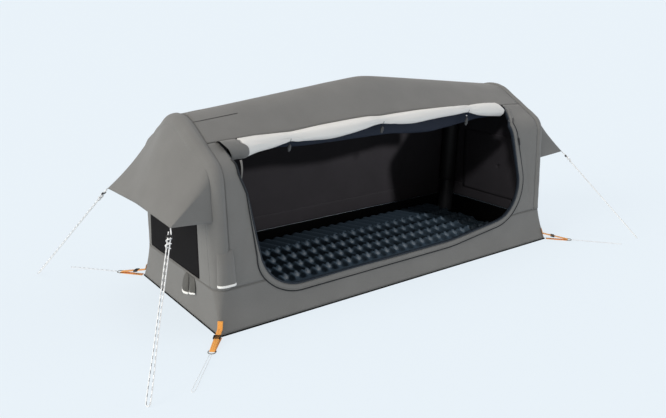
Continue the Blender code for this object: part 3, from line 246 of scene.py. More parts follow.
HEM_TAPE = woven("white_hem_tape", "#f2f1ee", 0.0015, 0.0001, 0.7, uneven=0.03)
ORANGE = woven("orange_webbing", "#f3a548", 0.0022, 0.0005, 0.6, sheen=0.3, uneven=0.1, spots=20.0)
ZIP_TAPE = woven("zip_tape", "#24272b", 0.001, 0.0001, 0.7)
print("cloths from", CANVAS.name, "to", ZIP_TAPE.name)


# %% [markdown]
# Films and hard plastics have no threads. Welded polyurethane film is smooth and glossy with a slow
# waviness, and injection-moulded acetal is satin, with the fine grain of its mould.

# %% Smooth materials
GLOSS_SPREAD = 0.08


def moulded(name, code, roughness, grain=0.0004, metallic=0.0, size=90.0):
    """A smooth finish: one colour, with a grain that shifts its gloss and its surface."""
    made, tree, shader = fresh(name)
    shader.inputs["Base Color"].default_value = colour(code)
    shader.inputs["Metallic"].default_value = metallic
    place = add(tree, "ShaderNodeTexCoord").outputs["Object"]
    cloud = add(tree, "ShaderNodeTexNoise", {"Vector": place, "Scale": size, "Detail": 3.0}).outputs["Fac"]
    gloss = add(
        tree, "ShaderNodeMapRange",
        {"Value": cloud, "To Min": roughness - GLOSS_SPREAD, "To Max": roughness + GLOSS_SPREAD},
    ).outputs["Result"]
    tree.links.new(gloss, shader.inputs["Roughness"])
    bump = add(tree, "ShaderNodeBump", {"Height": cloud, "Distance": grain, "Strength": 0.5})
    tree.links.new(bump.outputs["Normal"], shader.inputs["Normal"])
    return made


BEAM_FILM = moulded("welded_beam_film", "#0d0e10", 0.4, grain=0.003, size=14.0)
MAT_FILM = moulded("knobbed_mat_film", "#25323d", 0.52, grain=0.0005, size=70.0)
ACETAL = moulded("black_acetal", "#101113", 0.36)
STEEL = moulded("dark_plated_steel", "#6b6450", 0.34, grain=0.0001, metallic=1.0, size=300.0)
THREAD = moulded("sewing_thread", "#5a5957", 0.7, grain=0.0002, size=400.0)
TONAL = moulded("tonal_seam", "#71706e", 0.85, grain=0.0002, size=400.0)
# Painted shadow: near black, for the gaps where two cloths overlap on the roof.
SEAM_GAP_SHADOW = moulded("painted_seam_gap_shadow", "#2b2b2b", 0.8, grain=0.0002, size=400.0)
# Partly painted highlight: the toggles are dark glossy plastic, and this lighter grey stands in for the gloss
# that they catch.
TOGGLE_LIGHTENED = moulded("toggle_lightened_for_highlight", "#3e3f41", 0.26)
TEETH = moulded("zip_teeth", "#1b1d20", 0.35)
PIPING = moulded("pale_piping", "#3d464e", 0.4, grain=0.0002, size=200.0)
print("finishes in all:", len(bpy.data.materials))


# %% [markdown]
# ## Sheets made from rows of points
#
# Most of a tent is cloth panels, and a panel is a grid of points. A grid could be drawn flat and cloth
# simulation could pull it over the frame, but a pitched tent is taut, so its shape follows the arches
# and is worked out directly. Each panel is ruffled a little along its own normals and thickened inward,
# with the dark coating on its inner side.

# %% Grids
INSIDE = Vector((0, 0, 0.4))
NO_LENGTH = 1e-12
WELD_REACH = 0.00002
CUT = {}


def spaced(first, last, count):
    """Values from first to last in equal steps."""
    return [first + (last - first) * step / count for step in range(count + 1)]


def round_angles(count):
    """Equal angles once round."""
    return [2 * math.pi * part / count for part in range(count)]


def running(points):
    """Distances along a row of points."""
    lengths = [0.0]
    for here, there in zip(points, points[1:]):
        lengths.append(lengths[-1] + (there - here).length)
    return lengths


def ruffled(rows, height, inside=INSIDE):
    """A grid moved along its outward normals by height(point, share across, share up)."""
    moved = []
    for up, row in enumerate(rows):
        line = []
        for across, point in enumerate(row):
            beside = row[min(across + 1, len(row) - 1)] - row[max(across - 1, 0)]
            above = rows[min(up + 1, len(rows) - 1)][across] - rows[max(up - 1, 0)][across]
            normal = beside.cross(above)
            if normal.length < NO_LENGTH:
                line.append(point.copy())
                continue
            normal.normalize()
            if normal.dot(point - inside) < 0:
                normal = -normal
            share_across = across / (len(row) - 1)
            share_up = up / (len(rows) - 1)
            line.append(point + normal * height(point, share_across, share_up))
        moved.append(line)
    return moved


def plain(piece):
    """The piece with its modifiers applied, smooth, with its place in its mesh."""
    graph = bpy.context.evaluated_depsgraph_get()
    mesh = bpy.data.meshes.new_from_object(piece.evaluated_get(graph))
    if piece.type != "MESH":
        name = piece.name
        mesh.transform(piece.matrix_world)
        bpy.data.objects.remove(piece)
        return linked(name, mesh)
    piece.modifiers.clear()
    piece.data = mesh
    mesh.transform(piece.matrix_world)
    piece.matrix_world = Matrix.Identity(4)
    return piece


def cloth_faces(build, threads, grid, closed, mapped):
    """Faces over a grid of corners, each at mapped(row, column) on the cloth. Gives their area."""
    area = 0.0
    for up, (low, high) in enumerate(zip(grid, grid[1:])):
        count = len(low)
        for here in range(count if closed else count - 1):
            beside = (here + 1) % count
            face = build.faces.new((low[here], low[beside], high[beside], high[here]))
            face.smooth = True
            spots = ((up, here), (up, here + 1), (up + 1, here + 1), (up + 1, here))
            for loop, spot in zip(face.loops, spots):
                loop[threads].uv = mapped(*spot)
            area += face.calc_area()
    return area


def sewn(name, rows, finishes, thickness, inside=INSIDE, closed=False, weld=False):
    """A cloth piece from a grid: outer finish first, then the inner one."""
    build = bmesh.new()
    threads = build.loops.layers.uv.new("cloth")
    grid = [[build.verts.new(point) for point in row] for row in rows]
    across = [running(row + row[:1] if closed else row) for row in rows]
    columns = [running([row[place] for row in rows]) for place in range(len(rows[0]))]
    columns.append(columns[0])

    def mapped(row, column):
        return across[row][column], columns[column][row]

    area = cloth_faces(build, threads, grid, closed, mapped)
    width = max(line[-1] for line in across)
    length = max(line[-1] for line in columns)
    CUT[name] = (width, length, area)
    if weld:
        bmesh.ops.remove_doubles(build, verts=build.verts, dist=WELD_REACH)
    build.normal_update()
    build.faces.ensure_lookup_table()
    middle = build.faces[len(build.faces) // 2]
    if middle.normal.dot(middle.calc_center_median() - inside) < 0:
        bmesh.ops.reverse_faces(build, faces=build.faces)
    piece = linked(name, meshed(name, build), *finishes)
    if thickness:
        shell = piece.modifiers.new("thickness", "SOLIDIFY")
        shell.thickness = thickness
        shell.offset = -1
        shell.material_offset = len(finishes) - 1
        piece = plain(piece)
    return piece


def dressed(piece, slot, *nodes, body="tent"):
    """The piece rides on a body and hides the CAD nodes that it stands for. The slot is not used."""
    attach(piece, body)
    if nodes:
        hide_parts(*nodes)
    return piece


def cut_cloth(piece, held, *carriers, flat=None):
    """Prints the size that a sheet's grid was cut to, or the flat size that is given."""
    width, length, area = CUT[piece.name]
    width, length = flat or (width, length)
    print(piece.name, "is cut", round(width, 2), "x", round(length, 2), "m")


# %% [markdown]
# ## The shell's outline
#
# Every panel follows one outline: a wall that leans in, a rounded shoulder, a straight roof and a
# rounded top. It could be traced as a long list of points. Four corners with a fillet at each say the
# same in a few sizes, and the same function serves the arches, the seams and the door.

# %% Outline sizes
ENDS = ((-1, "left"), (1, "right"))
HALF_LENGTH, HALF_WIDTH = 1.20, 0.48
SKIRT_HEIGHT = 0.21
WALL_Y, SHOULDER_Y, END_X = 0.435, 0.41, 1.18
SHOULDER_HEIGHT, SHOULDER_RADIUS = 0.779, 0.12
ROOF_PITCH = math.radians(30.4)
TOP_RADIUS = 0.25
RIDGE_RISE, RIDGE_BEND, RIDGE_ROUNDING = 0.117, 0.06, 0.05
DOOR_SEAM_Y = 0.25
GROUND_RIM, BASE_CORNER_RADIUS = 0.004, 0.012
CLOTH, GAP = 0.003, 0.0003
ABOVE_RIM = GROUND_RIM + GAP
FACET = math.cos(math.pi / 12)
SLEEVE_RADIUS = 0.055
COVER_RADIUS = SLEEVE_RADIUS + (GAP + CLOTH) / FACET
COVER_FLANGE = 0.02
COVER_END_FLANGE = 0.006
ARCH_X = END_X - COVER_RADIUS
PANEL_END = ARCH_X - COVER_FLANGE - GAP
APEX_HEIGHT = SHOULDER_HEIGHT + SHOULDER_Y * math.tan(ROOF_PITCH)
ARCH_TOP = APEX_HEIGHT - TOP_RADIUS * (1 / math.cos(ROOF_PITCH) - 1)
ARC_STEPS = 12
SPACING = 0.016
LONG_PARTS, SHORT_PARTS = 96, 40
print("arches:", round(ARCH_TOP, 3), "m high, at", round(ARCH_X, 3), "m from the middle")

# %% [markdown]
# Each corner of the outline is an arc that meets two straight lines, so the fillet is made first.

# %% Outline functions
def fillet(before, corner, after, radius, steps):
    """(point, left normal) pairs round a corner of a flat path."""
    arrive = (corner - before).normalized()
    leave = (after - corner).normalized()
    turn = math.atan2(arrive.x * leave.y - arrive.y * leave.x, arrive.dot(leave))
    side = math.copysign(1, turn)
    normal = Vector((-arrive.y, arrive.x))
    centre = corner - arrive * radius * math.tan(abs(turn) / 2) + normal * radius * side
    samples = []
    for step in range(steps + 1):
        angle = turn * step / steps
        heading = Vector((
            normal.x * math.cos(angle) - normal.y * math.sin(angle),
            normal.x * math.sin(angle) + normal.y * math.cos(angle),
        ))
        samples.append((centre - heading * radius * side, heading))
    return samples


def arch_outline(foot_height):
    """The shell's (y, z) outline at an arch, front foot to back foot, with outward normals."""
    sides = ((WALL_Y, SKIRT_HEIGHT), (SHOULDER_Y, SHOULDER_HEIGHT))
    corners = [Vector((-y, z)) for y, z in sides] + [Vector((0, APEX_HEIGHT))]
    corners += [Vector((y, z)) for y, z in reversed(sides)]
    wall = (corners[1] - corners[0]).normalized()
    foot = corners[0] + wall * (foot_height - SKIRT_HEIGHT) / wall.y
    normal = Vector((-wall.y, wall.x))
    samples = [(foot, normal)]
    for here, radius in ((1, SHOULDER_RADIUS), (2, TOP_RADIUS), (3, SHOULDER_RADIUS)):
        samples += fillet(*corners[here - 1:here + 2], radius, ARC_STEPS)
    samples.append((Vector((-foot.x, foot.y)), Vector((-normal.x, normal.y))))
    return samples


def evenly(samples, spacing):
    """(point, normal) pairs at even distances along a path."""
    lengths = running([point for point, _ in samples])
    count = max(2, round(lengths[-1] / spacing))
    spread = []
    here = 0
    for step in range(count + 1):
        distance = lengths[-1] * step / count
        while here < len(lengths) - 2 and lengths[here + 1] < distance:
            here += 1
        share = (distance - lengths[here]) / max(1e-9, lengths[here + 1] - lengths[here])
        (low, low_normal), (high, high_normal) = samples[here], samples[here + 1]
        spread.append((low.lerp(high, share), low_normal.lerp(high_normal, share).normalized()))
    return spread


def rounded(value, softness):
    """Like abs, but smooth at zero."""
    return math.sqrt(value * value + softness * softness) - softness


def ridge_rise(x):
    return RIDGE_RISE * max(0, 1 - rounded(x, RIDGE_BEND) / rounded(PANEL_END, RIDGE_BEND))


def lifted(x, y, z):
    """A point of the arch's outline carried along the tent, where the ridge lifts the roof."""
    share = max(0, 1 - rounded(y, RIDGE_ROUNDING) / rounded(SHOULDER_Y, RIDGE_ROUNDING))
    return Vector((x, y, z + ridge_rise(x) * share))


def roof_height(y):
    if abs(y) < TOP_RADIUS * math.sin(ROOF_PITCH):
        return ARCH_TOP - TOP_RADIUS + math.sqrt(TOP_RADIUS * TOP_RADIUS - y * y)
    return SHOULDER_HEIGHT + (SHOULDER_Y - abs(y)) * math.tan(ROOF_PITCH)


SEAM_HEIGHT = roof_height(DOOR_SEAM_Y)
# Place along the tent, and how far the rolled door's weight pulls the roof's edge down there
SEAM_SAGS = (
    (-1.2, 0.0), (-0.86, 0.0), (-0.80, 0.0035), (-0.71, 0.009), (-0.645, 0.0135), (-0.595, 0.0125),
    (-0.51, 0.009), (-0.42, 0.007), (-0.24, 0.006), (-0.145, 0.008), (-0.06, 0.0160), (0.0, 0.0155),
    (0.055, 0.0125), (0.145, 0.007), (0.24, 0.001), (0.30, 0.0), (1.2, 0.0),
)


def cubic(low, arrive, high, leave, share):
    """From low to high on a smooth curve with a slope at each end."""
    square, cube = share ** 2, share ** 3
    return (
        low * (2 * cube - 3 * square + 1) + arrive * (cube - 2 * square + share)
        + high * (3 * square - 2 * cube) + leave * (cube - square)
    )


def profiled(profile, x):
    """A value on a smooth curve through chosen places."""
    here = 0
    while here < len(profile) - 2 and x > profile[here + 1][0]:
        here += 1
    (low, low_value), (high, high_value) = profile[here], profile[here + 1]
    before, after = profile[max(0, here - 1)], profile[min(len(profile) - 1, here + 2)]
    arrive = (high_value - before[1]) / (high - before[0]) * (high - low)
    leave = (after[1] - low_value) / (after[0] - low) * (high - low)
    share = max(0, min(1, (x - low) / (high - low)))
    return cubic(low_value, arrive, high_value, leave, share)


def edge_sag(x, y):
    """How far the front roof hangs below its plain shape."""
    return profiled(SEAM_SAGS, x) * max(0, -y / DOOR_SEAM_Y) ** 3


def flare(height):
    """1 at the ground, 0 at the skirt's seam."""
    return max(0, 1 - height / SKIRT_HEIGHT) ** 2


def skirt_half_width(height):
    return WALL_Y + (HALF_WIDTH - GROUND_RIM - WALL_Y) * flare(height)


def skirt_half_length(height):
    return END_X + (HALF_LENGTH - GROUND_RIM - END_X) * flare(height)


def skirt_corner(height):
    share = max(0, min(1, height / SKIRT_HEIGHT))
    return BASE_CORNER_RADIUS + (COVER_RADIUS - BASE_CORNER_RADIUS) * share ** 2


def plan_loop(half_x, half_y, radius, height, corner_steps=8):
    """A rounded rectangle in plan, anticlockwise from the +X side, with its sides subdivided."""
    loop = []
    sides = ((1, 1, LONG_PARTS), (-1, 1, SHORT_PARTS), (-1, -1, LONG_PARTS), (1, -1, SHORT_PARTS))
    for quarter, (side_x, side_y, parts) in enumerate(sides):
        for step in range(corner_steps + 1):
            angle = (quarter + step / corner_steps) * math.pi / 2
            x = side_x * (half_x - radius) + radius * math.cos(angle)
            y = side_y * (half_y - radius) + radius * math.sin(angle)
            loop.append(Vector((x, y, height)))
        next_x, next_y, _ = sides[(quarter + 1) % 4]
        angle = (quarter + 1) * math.pi / 2
        start = loop[-1]
        end = Vector((
            next_x * (half_x - radius) + radius * math.cos(angle),
            next_y * (half_y - radius) + radius * math.sin(angle), height,
        ))
        loop += [start.lerp(end, part / parts) for part in range(1, parts)]
    return loop


def skirt_loop(height, inset=0.0):
    return plan_loop(
        skirt_half_length(height) - inset, skirt_half_width(height) - inset,
        skirt_corner(height) - inset, height,
    )


FRONT = evenly(arch_outline(SKIRT_HEIGHT), 0.004)


def front_surface(height):
    """(y, outward normal) of the front wall at a height."""
    if height < SKIRT_HEIGHT:
        share = max(0, 1 - height / SKIRT_HEIGHT)
        slope = 2 * (HALF_WIDTH - GROUND_RIM - WALL_Y) * share / SKIRT_HEIGHT
        return -skirt_half_width(height), Vector((0, -1, slope)).normalized()
    for (low, low_normal), (high, high_normal) in zip(FRONT, FRONT[1:]):
        if low.y <= height <= high.y:
            share = (height - low.y) / (high.y - low.y)
            normal = low_normal.lerp(high_normal, share).normalized()
            return low.x + (high.x - low.x) * share, Vector((0, normal.x, normal.y))
    return 0.0, UP


def on_front(x, height, stand=0.0):
    """A point on the front wall, or that far outside it."""
    y, normal = front_surface(height)
    return lifted(x, y, height) + normal * stand


print("ridge stands", round(ARCH_TOP + RIDGE_RISE, 3), "m high")

# %% [markdown]
# The doorway is one path: wavy down its left side, where the cloth is drawn in, then three fillets. The
# zip and the stitches beside it are lines at set distances outside it.

# %% Door outline
# The (x, height) of the opening's edge, from the seam down the left side, and then its corners
DOOR_TOP_LEFT = (
    Vector((-1.048, SEAM_HEIGHT)), Vector((-1.036, 0.850)), Vector((-1.031, 0.815)), Vector((-1.020, 0.790)),
    Vector((-1.022, 0.752)), Vector((-1.014, 0.725)), Vector((-1.003, 0.697)), Vector((-0.987, 0.655)),
)
DOOR_CORNERS = (
    DOOR_TOP_LEFT[-1], Vector((-0.90, 0.148)), Vector((0.35, 0.153)), Vector((1.0, 0.223)),
    Vector((0.855, SHOULDER_HEIGHT)), Vector((0.945, SEAM_HEIGHT)),
)
DOOR_LEFT_RADIUS, DOOR_BEND_RADIUS, DOOR_RIGHT_RADIUS = 0.23, 1.0, 0.22
DOOR_SPACING, EDGE_SPACING = 0.012, 0.005
ZIP_OFFSET = 0.040
CLOSE_LOW, CLOSE_HIGH, CLOSE_SHARE, CLOSE_SIDE = 0.24, 0.44, 0.82, -0.5


def eased(share):
    """0 to 1, with no slope at either end."""
    share = max(0, min(1, share))
    return share * share * (3 - 2 * share)


def drawn_in(point):
    """Up the left side the zip comes close to the opening's edge."""
    if point.x > CLOSE_SIDE:
        return 1.0
    return 1 - CLOSE_SHARE * eased((point.y - CLOSE_LOW) / (CLOSE_HIGH - CLOSE_LOW))


def door_path(offset=0.0, spacing=DOOR_SPACING):
    """The opening's edge from the left seam round to the right one, or a line outside it."""
    corners = DOOR_CORNERS
    samples = []
    for here, there in zip(DOOR_TOP_LEFT, DOOR_TOP_LEFT[1:] + corners[1:2]):
        way = (there - here).normalized()
        samples.append((here, Vector((-way.y, way.x))))
    samples += fillet(corners[0], corners[1], corners[2], DOOR_LEFT_RADIUS, 2 * ARC_STEPS)
    samples += fillet(corners[1], corners[2], corners[3], DOOR_BEND_RADIUS, ARC_STEPS)
    samples += fillet(corners[2], corners[3], corners[4], DOOR_RIGHT_RADIUS, 2 * ARC_STEPS)
    for here, there in ((3, 4), (4, 5)):
        way = (corners[there] - corners[here]).normalized()
        samples.append((corners[there], Vector((-way.y, way.x))))
    path = [(point - normal * offset * drawn_in(point), normal) for point, normal in samples]
    return [point for point, _ in evenly(path, spacing)]


EDGE = door_path(spacing=EDGE_SPACING)


def door_edge(height, side):
    """The opening's edge at a height: side -1 is the left one and 1 the right one."""
    path = EDGE if side < 0 else list(reversed(EDGE))
    for high, low in zip(path, path[1:]):
        if low.y <= height <= high.y and high.y > low.y:
            share = (height - low.y) / (high.y - low.y)
            return low.x + (high.x - low.x) * share
    return path[0].x


print("the opening's edge is", round(running(EDGE)[-1], 2), "m long")

# %% [markdown]
# ## Panels
#
# Taut cloth is never quite flat: it puckers along its seams, where the thread draws it in, and it
# hangs in slow waves between them. Both are low noise here, stretched along the way the cloth pulls.
# The noise has a fixed place in space, so it comes out the same each time.

# %% Wrinkles
SEAM_REACH, PUCKER_FINENESS, EDGE_HOLD = 0.08, 7, 40


def noise_at(point, scale):
    """Smooth noise at a point, with a fineness for each direction."""
    return noise.noise(Vector((point.x * scale[0], point.y * scale[1], point.z * scale[2])))


def waves(size, scale, pucker=0.0):
    """Slow waves that die out at the seams, and puckers that die out away from them."""
    frequency = Vector(scale)

    def height(point, across, up):
        place = Vector((point.x * frequency.x, point.y * frequency.y, point.z * frequency.z))
        edge = min(across, 1 - across, up, 1 - up)
        body = min(1, edge / SEAM_REACH)
        slow = size * body * noise.noise(place)
        fine = pucker * math.exp(-(edge / SEAM_REACH) ** 2) * noise.noise(place * PUCKER_FINENESS)
        return slow + fine * min(1, edge * EDGE_HOLD)

    return height


def crease(point, start, end, width, depth):
    """The depth of a soft fold at a point near the line from start to end."""
    line = end - start
    share = max(0, min(1, (point - start).dot(line) / line.length_squared))
    distance = (point - start - line * share).length
    fade = math.sin(math.pi * share) ** 0.5
    return depth * fade * math.exp(-(distance / width) ** 2)


# %% [markdown]
# The skirt is the band all round the foot, flared at the ground. It is one belt with the door's notch and
# the cable hole cut out of it by booleans, because both cut across its grid.

# %% Skirt
LEVELS = 16
SKIRT_WAVE = 0.0026
CUT_OUTSIDE, CUT_INSIDE, CUT_TOP = -0.52, -0.38, 0.5
CABLE_Y, CABLE_HOLE_HEIGHT = -0.135, 0.165
CABLE_HOLE = (0.08, 0.060, 0.036)
foot, top = ABOVE_RIM, SKIRT_HEIGHT - GAP
rows = [skirt_loop(height) for height in spaced(foot, top, LEVELS)]


def skirt_waves(point, across, up):
    return SKIRT_WAVE * math.sin(math.pi * up) * noise_at(point, (3, 3, 5))


skirt = sewn("skirt_cloth", ruffled(rows, skirt_waves), (CANVAS, LINING), CLOTH, closed=True)
build = bmesh.new()
prism = [point for point in door_path() if point.y < CUT_TOP]
ends = [[build.verts.new((p.x, y, p.y)) for p in prism] for y in (CUT_OUTSIDE, CUT_INSIDE)]
for here in range(len(prism)):
    beside = (here + 1) % len(prism)
    build.faces.new((ends[0][here], ends[0][beside], ends[1][beside], ends[1][here]))
build.faces.new(list(reversed(ends[0])))
build.faces.new(ends[1])
bmesh.ops.recalc_face_normals(build, faces=build.faces)
cutters = [linked("door_cutter", meshed("door_cutter", build))]
build = bmesh.new()
bmesh.ops.create_cube(build, size=1)
bmesh.ops.scale(build, vec=CABLE_HOLE, verts=build.verts)
bmesh.ops.translate(build, vec=(-END_X, CABLE_Y, CABLE_HOLE_HEIGHT), verts=build.verts)
cutters.append(linked("cable_cutter", meshed("cable_cutter", build)))
for cutter in cutters:
    step = skirt.modifiers.new("cut", "BOOLEAN")
    step.object = cutter
    step.operation = "DIFFERENCE"
    skirt = plain(skirt)
    bpy.data.objects.remove(cutter)
dressed(skirt, "canvas", "wall_skirt")
cut_cloth(skirt, "stretched", "groundsheet")


# %% [markdown]
# The walls are grids between the two seams. The crease on each side of the door is a soft fold pressed
# in along a line, which is easier to place than a simulated one.

# %% Front and back walls
PANEL_COLUMNS, STATIONS = 20, 110
CREASE_WIDTH, CREASE_DEPTH = 0.02, 0.0025


def wall_profile():
    """(y, z) up the front wall, from the skirt's seam to the door's seam."""
    samples = [pair for pair in arch_outline(SKIRT_HEIGHT + GAP) if pair[0].x < -DOOR_SEAM_Y - GAP]
    samples.append((Vector((-DOOR_SEAM_Y - GAP, roof_height(DOOR_SEAM_Y + GAP))), samples[-1][1]))
    return [point for point, _ in evenly(samples, SPACING)]


def front_folds(side):
    slow = waves(0.004, (7, 3, 2.2), pucker=0.0012)
    foot = Vector((side * 1.06, -WALL_Y, 0.24))
    knee = Vector((side * 0.98, -0.42, 0.62))

    def height(point, across, up):
        return slow(point, across, up) - crease(point, foot, knee, CREASE_WIDTH, CREASE_DEPTH)

    return height


for side, place in ENDS:
    rows = []
    for profile in wall_profile():
        start, end = side * PANEL_END, door_edge(profile.y, side)
        rows.append([lifted(x, profile.x, profile.y) for x in spaced(start, end, PANEL_COLUMNS)])
    name = "front_panel_" + place
    panel = sewn(name + "_cloth", ruffled(rows, front_folds(side)), (CANVAS, LINING), CLOTH)
    dressed(panel, "canvas", name)
    cut_cloth(panel, "stretched", "arch_cover_" + place, "wall_skirt")

stations = spaced(-PANEL_END, PANEL_END, STATIONS)
rows = [[lifted(x, -profile.x, profile.y) for x in stations] for profile in wall_profile()]
rows = ruffled(rows, waves(0.006, (2.4, 3, 1.6), pucker=0.0015))
wall = sewn("back_wall_cloth", rows, (CANVAS, LINING), CLOTH)
dressed(wall, "canvas", "back_panel")
cut_cloth(wall, "stretched", "wall_skirt")


# %% [markdown]
# Each roof half runs from the ridge to a seam. The front one hangs a little where the rolled door pulls
# on it, by the same curve that places the roll.

# %% Roof
ROOF_ROWS, ROOF_DIP = 24, 0.004


def roof_sag(point, across, up):
    """The roof dips between the ridge and the seam, and puckers where the arches hold it."""
    slow = waves(0.0035, (1.6, 4, 3), pucker=0.0016)(point, across, up)
    return slow - ROOF_DIP * math.sin(math.pi * up) * math.sin(math.pi * across)


for side, place in ((-1, "front"), (1, "back")):
    rows = []
    for y in spaced(side * GAP, side * (DOOR_SEAM_Y - GAP), ROOF_ROWS):
        rows.append([lifted(x, y, roof_height(y)) - UP * edge_sag(x, y) for x in stations])
    name = "roof_" + place
    # The roof's inner side is painted shade: near black, darker than the walls' coating.
    roof = sewn(name + "_cloth", ruffled(rows, roof_sag), (CANVAS, PAINTED_SHADE_BLACK), CLOTH)
    dressed(roof, "canvas", name)
    cut_cloth(roof, "stretched", "ridge_sleeve")

# %% [markdown]
# ## Arch covers, end walls and nets
#
# A cover is a strip of cloth sewn along both sides of an air beam, so the beam makes it bulge a little
# between its seams. That bulge is what catches the light along the arch. The end wall hangs inside the
# cover, with a window of fine net let into it.

# %% Swept strips
COVER_BULGE = 0.007
FLANGE_STEPS, ROUND_STEPS = 6, 16
# How high the folds are: everywhere, more near the shoulders, and more near the foot
FOLD_PLAIN, FOLD_BEND, FOLD_LOW = 0.0010, 0.0022, 0.0012
FOLD_BEND_HEIGHT, FOLD_BEND_REACH = 0.84, 0.09
FOLD_LOW_HEIGHT, FOLD_LOW_REACH = 0.30, 0.12


def swept(foot_height, side, section):
    """Rows along an arch. Each offset is out of the arch, and across towards the end."""
    centres = [(p - n * COVER_RADIUS, n) for p, n in evenly(arch_outline(foot_height), SPACING)]
    rows = []
    for centre, normal in centres:
        row = []
        for out, across in section:
            place = centre + normal * out
            row.append(Vector((side * (ARCH_X + across), place.x, place.y)))
        rows.append(row)
    for row, beside in ((rows[0], rows[1]), (rows[-1], rows[-2])):
        for here, (point, above) in enumerate(zip(row, beside)):
            row[here] = point.lerp(above, (foot_height - point.z) / (above.z - point.z))
    return rows


section = []
for step in range(FLANGE_STEPS):
    share = step / FLANGE_STEPS
    section.append((COVER_RADIUS + COVER_BULGE * eased(share), -COVER_FLANGE * (1 - share)))
for angle in spaced(0, math.pi / 2, ROUND_STEPS):
    radius = COVER_RADIUS + COVER_BULGE * max(0, math.cos(2 * angle))
    section.append((radius * math.cos(angle), radius * math.sin(angle)))
section.append((-COVER_END_FLANGE, COVER_RADIUS))


def cover_folds(point, across, up):
    """Small cross folds, most of them near the shoulders, where the beam bends."""
    bend = math.exp(-((point.z - FOLD_BEND_HEIGHT) / FOLD_BEND_REACH) ** 2)
    low = math.exp(-((point.z - FOLD_LOW_HEIGHT) / FOLD_LOW_REACH) ** 2)
    size = FOLD_PLAIN + FOLD_BEND * bend + FOLD_LOW * low
    return math.sin(math.pi * across) * size * noise_at(point, (9, 16, 16))


for side, place in ENDS:
    rows = swept(SKIRT_HEIGHT + GAP, side, section)
    middle = Vector((side * ARCH_X, 0, INSIDE.z))
    name = "arch_cover_" + place
    cover = sewn(name + "_cloth", ruffled(rows, cover_folds, middle), (CANVAS, LINING), CLOTH, middle)
    dressed(cover, "canvas", name)
    cut_cloth(cover, "stretched", "arch_sleeve_" + place)

# %% [markdown]
# An end wall could be a flat sheet with a hole cut by a boolean, but rings of points from the arch in to
# the window follow both outlines without slivers. A dark blind behind each net keeps the daylight out.

# %% Windows and end walls
END_ROWS, WINDOW_ROWS, RING_PARTS, RING_LEAST = 14, 12, 60, 0.004
END_WAVE, MIDDLE_SPOT = 0.0045, 0.0004
NET_BEHIND, NET_CLOTH = 0.0008, 0.0015
BLIND_BEHIND, BLIND_LAP, BLIND_CLOTH = 0.0046, 0.012, 0.0008
WINDOW_SILL, WINDOW_TOP = 0.214, 0.62
WINDOW_HALF_SILL, WINDOW_HALF_TOP, WINDOW_SHIFT, WINDOW_LEAN = 0.307, 0.285, 0.052, 0.030
WINDOW_CORNER = 0.007


def window_outline(shift, inset=0.0):
    """The window's (y, z) corners, each cut by a small chamfer."""
    low, high = WINDOW_SILL + inset, WINDOW_TOP - inset
    half_sill, half_top = WINDOW_HALF_SILL - inset, WINDOW_HALF_TOP - inset
    lean = math.copysign(WINDOW_LEAN, -shift)
    corners = [(-half_sill, low), (half_sill, low), (half_top + lean, high), (lean - half_top, high)]
    corners = [Vector((y + shift, z)) for y, z in corners]
    outline = []
    for here, corner in enumerate(corners):
        before, after = corners[here - 1], corners[(here + 1) % len(corners)]
        outline.append(corner.lerp(before, WINDOW_CORNER / (corner - before).length))
        outline.append(corner.lerp(after, WINDOW_CORNER / (corner - after).length))
    return outline


def ray_reach(outline, centre, way):
    """How far an outline lies from a centre along a direction."""
    reach = 0.0
    for here, there in zip(outline, outline[1:] + outline[:1]):
        side = there - here
        bottom = way.x * side.y - way.y * side.x
        if abs(bottom) < NO_LENGTH:
            continue
        offset = here - centre
        along = (offset.x * side.y - offset.y * side.x) / bottom
        share = (offset.x * way.y - offset.y * way.x) / bottom
        if along > 0 and -1e-4 <= share <= 1 + 1e-4:
            reach = max(reach, along)
    return reach


def ring_rows(x, outer, inner, steps):
    """Rows from an outer outline to an inner one round the same centre, across X."""
    centre = sum(inner, Vector((0, 0))) / len(inner)
    angles = [math.atan2(*(point - centre).yx) for point in outer + inner]
    angles += [math.pi * part / RING_PARTS for part in range(-RING_PARTS, RING_PARTS)]
    ways = [Vector((math.cos(angle), math.sin(angle))) for angle in sorted(angles)]
    ways = [way for way, after in zip(ways, ways[1:] + ways[:1]) if (way - after).length > RING_LEAST]
    reaches = [(ray_reach(outer, centre, way), ray_reach(inner, centre, way)) for way in ways]
    rows = []
    for step in range(steps + 1):
        row = []
        for way, (far, near) in zip(ways, reaches):
            flat = centre + way * (far + (near - far) * step / steps)
            row.append(Vector((x, flat.x, flat.y)))
        rows.append(row)
    return rows


def end_waves(point, across, up):
    return END_WAVE * math.sin(math.pi * up) * noise_at(point, (1, 5, 2.4))


for side, place in ENDS:
    shift = -side * WINDOW_SHIFT
    edge = [row[0].yz for row in swept(SKIRT_HEIGHT + GAP, side, [(-COVER_END_FLANGE - GAP, 0)])]
    rows = ring_rows(side * END_X, edge, window_outline(shift), END_ROWS)
    name = "end_wall_" + place
    wall = sewn(name + "_cloth", ruffled(rows, end_waves), (CANVAS, LINING), CLOTH, closed=True)
    dressed(wall, "canvas", name)
    cut_cloth(wall, "stretched", "arch_cover_" + place, flat=(2 * WALL_Y, ARCH_TOP - SKIRT_HEIGHT))
    centre = Vector((shift, (WINDOW_SILL + WINDOW_TOP) / 2))
    spot = [centre + Vector((math.cos(a), math.sin(a))) * MIDDLE_SPOT for a in (0, 1.5, 3, 4.5)]
    rows = ring_rows(side * (END_X - NET_BEHIND), window_outline(shift, GAP), spot, WINDOW_ROWS)
    net = sewn("window_net_" + place + "_mesh", rows, (NET,), NET_CLOTH, closed=True)
    dressed(net, "window_net", "window_net_" + place)
    cut_cloth(net, "stretched", name, flat=(2 * WINDOW_HALF_SILL, WINDOW_TOP - WINDOW_SILL))
    rows = ring_rows(side * (END_X - BLIND_BEHIND), window_outline(shift, -BLIND_LAP), spot, WINDOW_ROWS)
    blind = sewn("window_blind_" + place, rows, (LINING,), BLIND_CLOTH, closed=True)
    dressed(blind, "canvas")

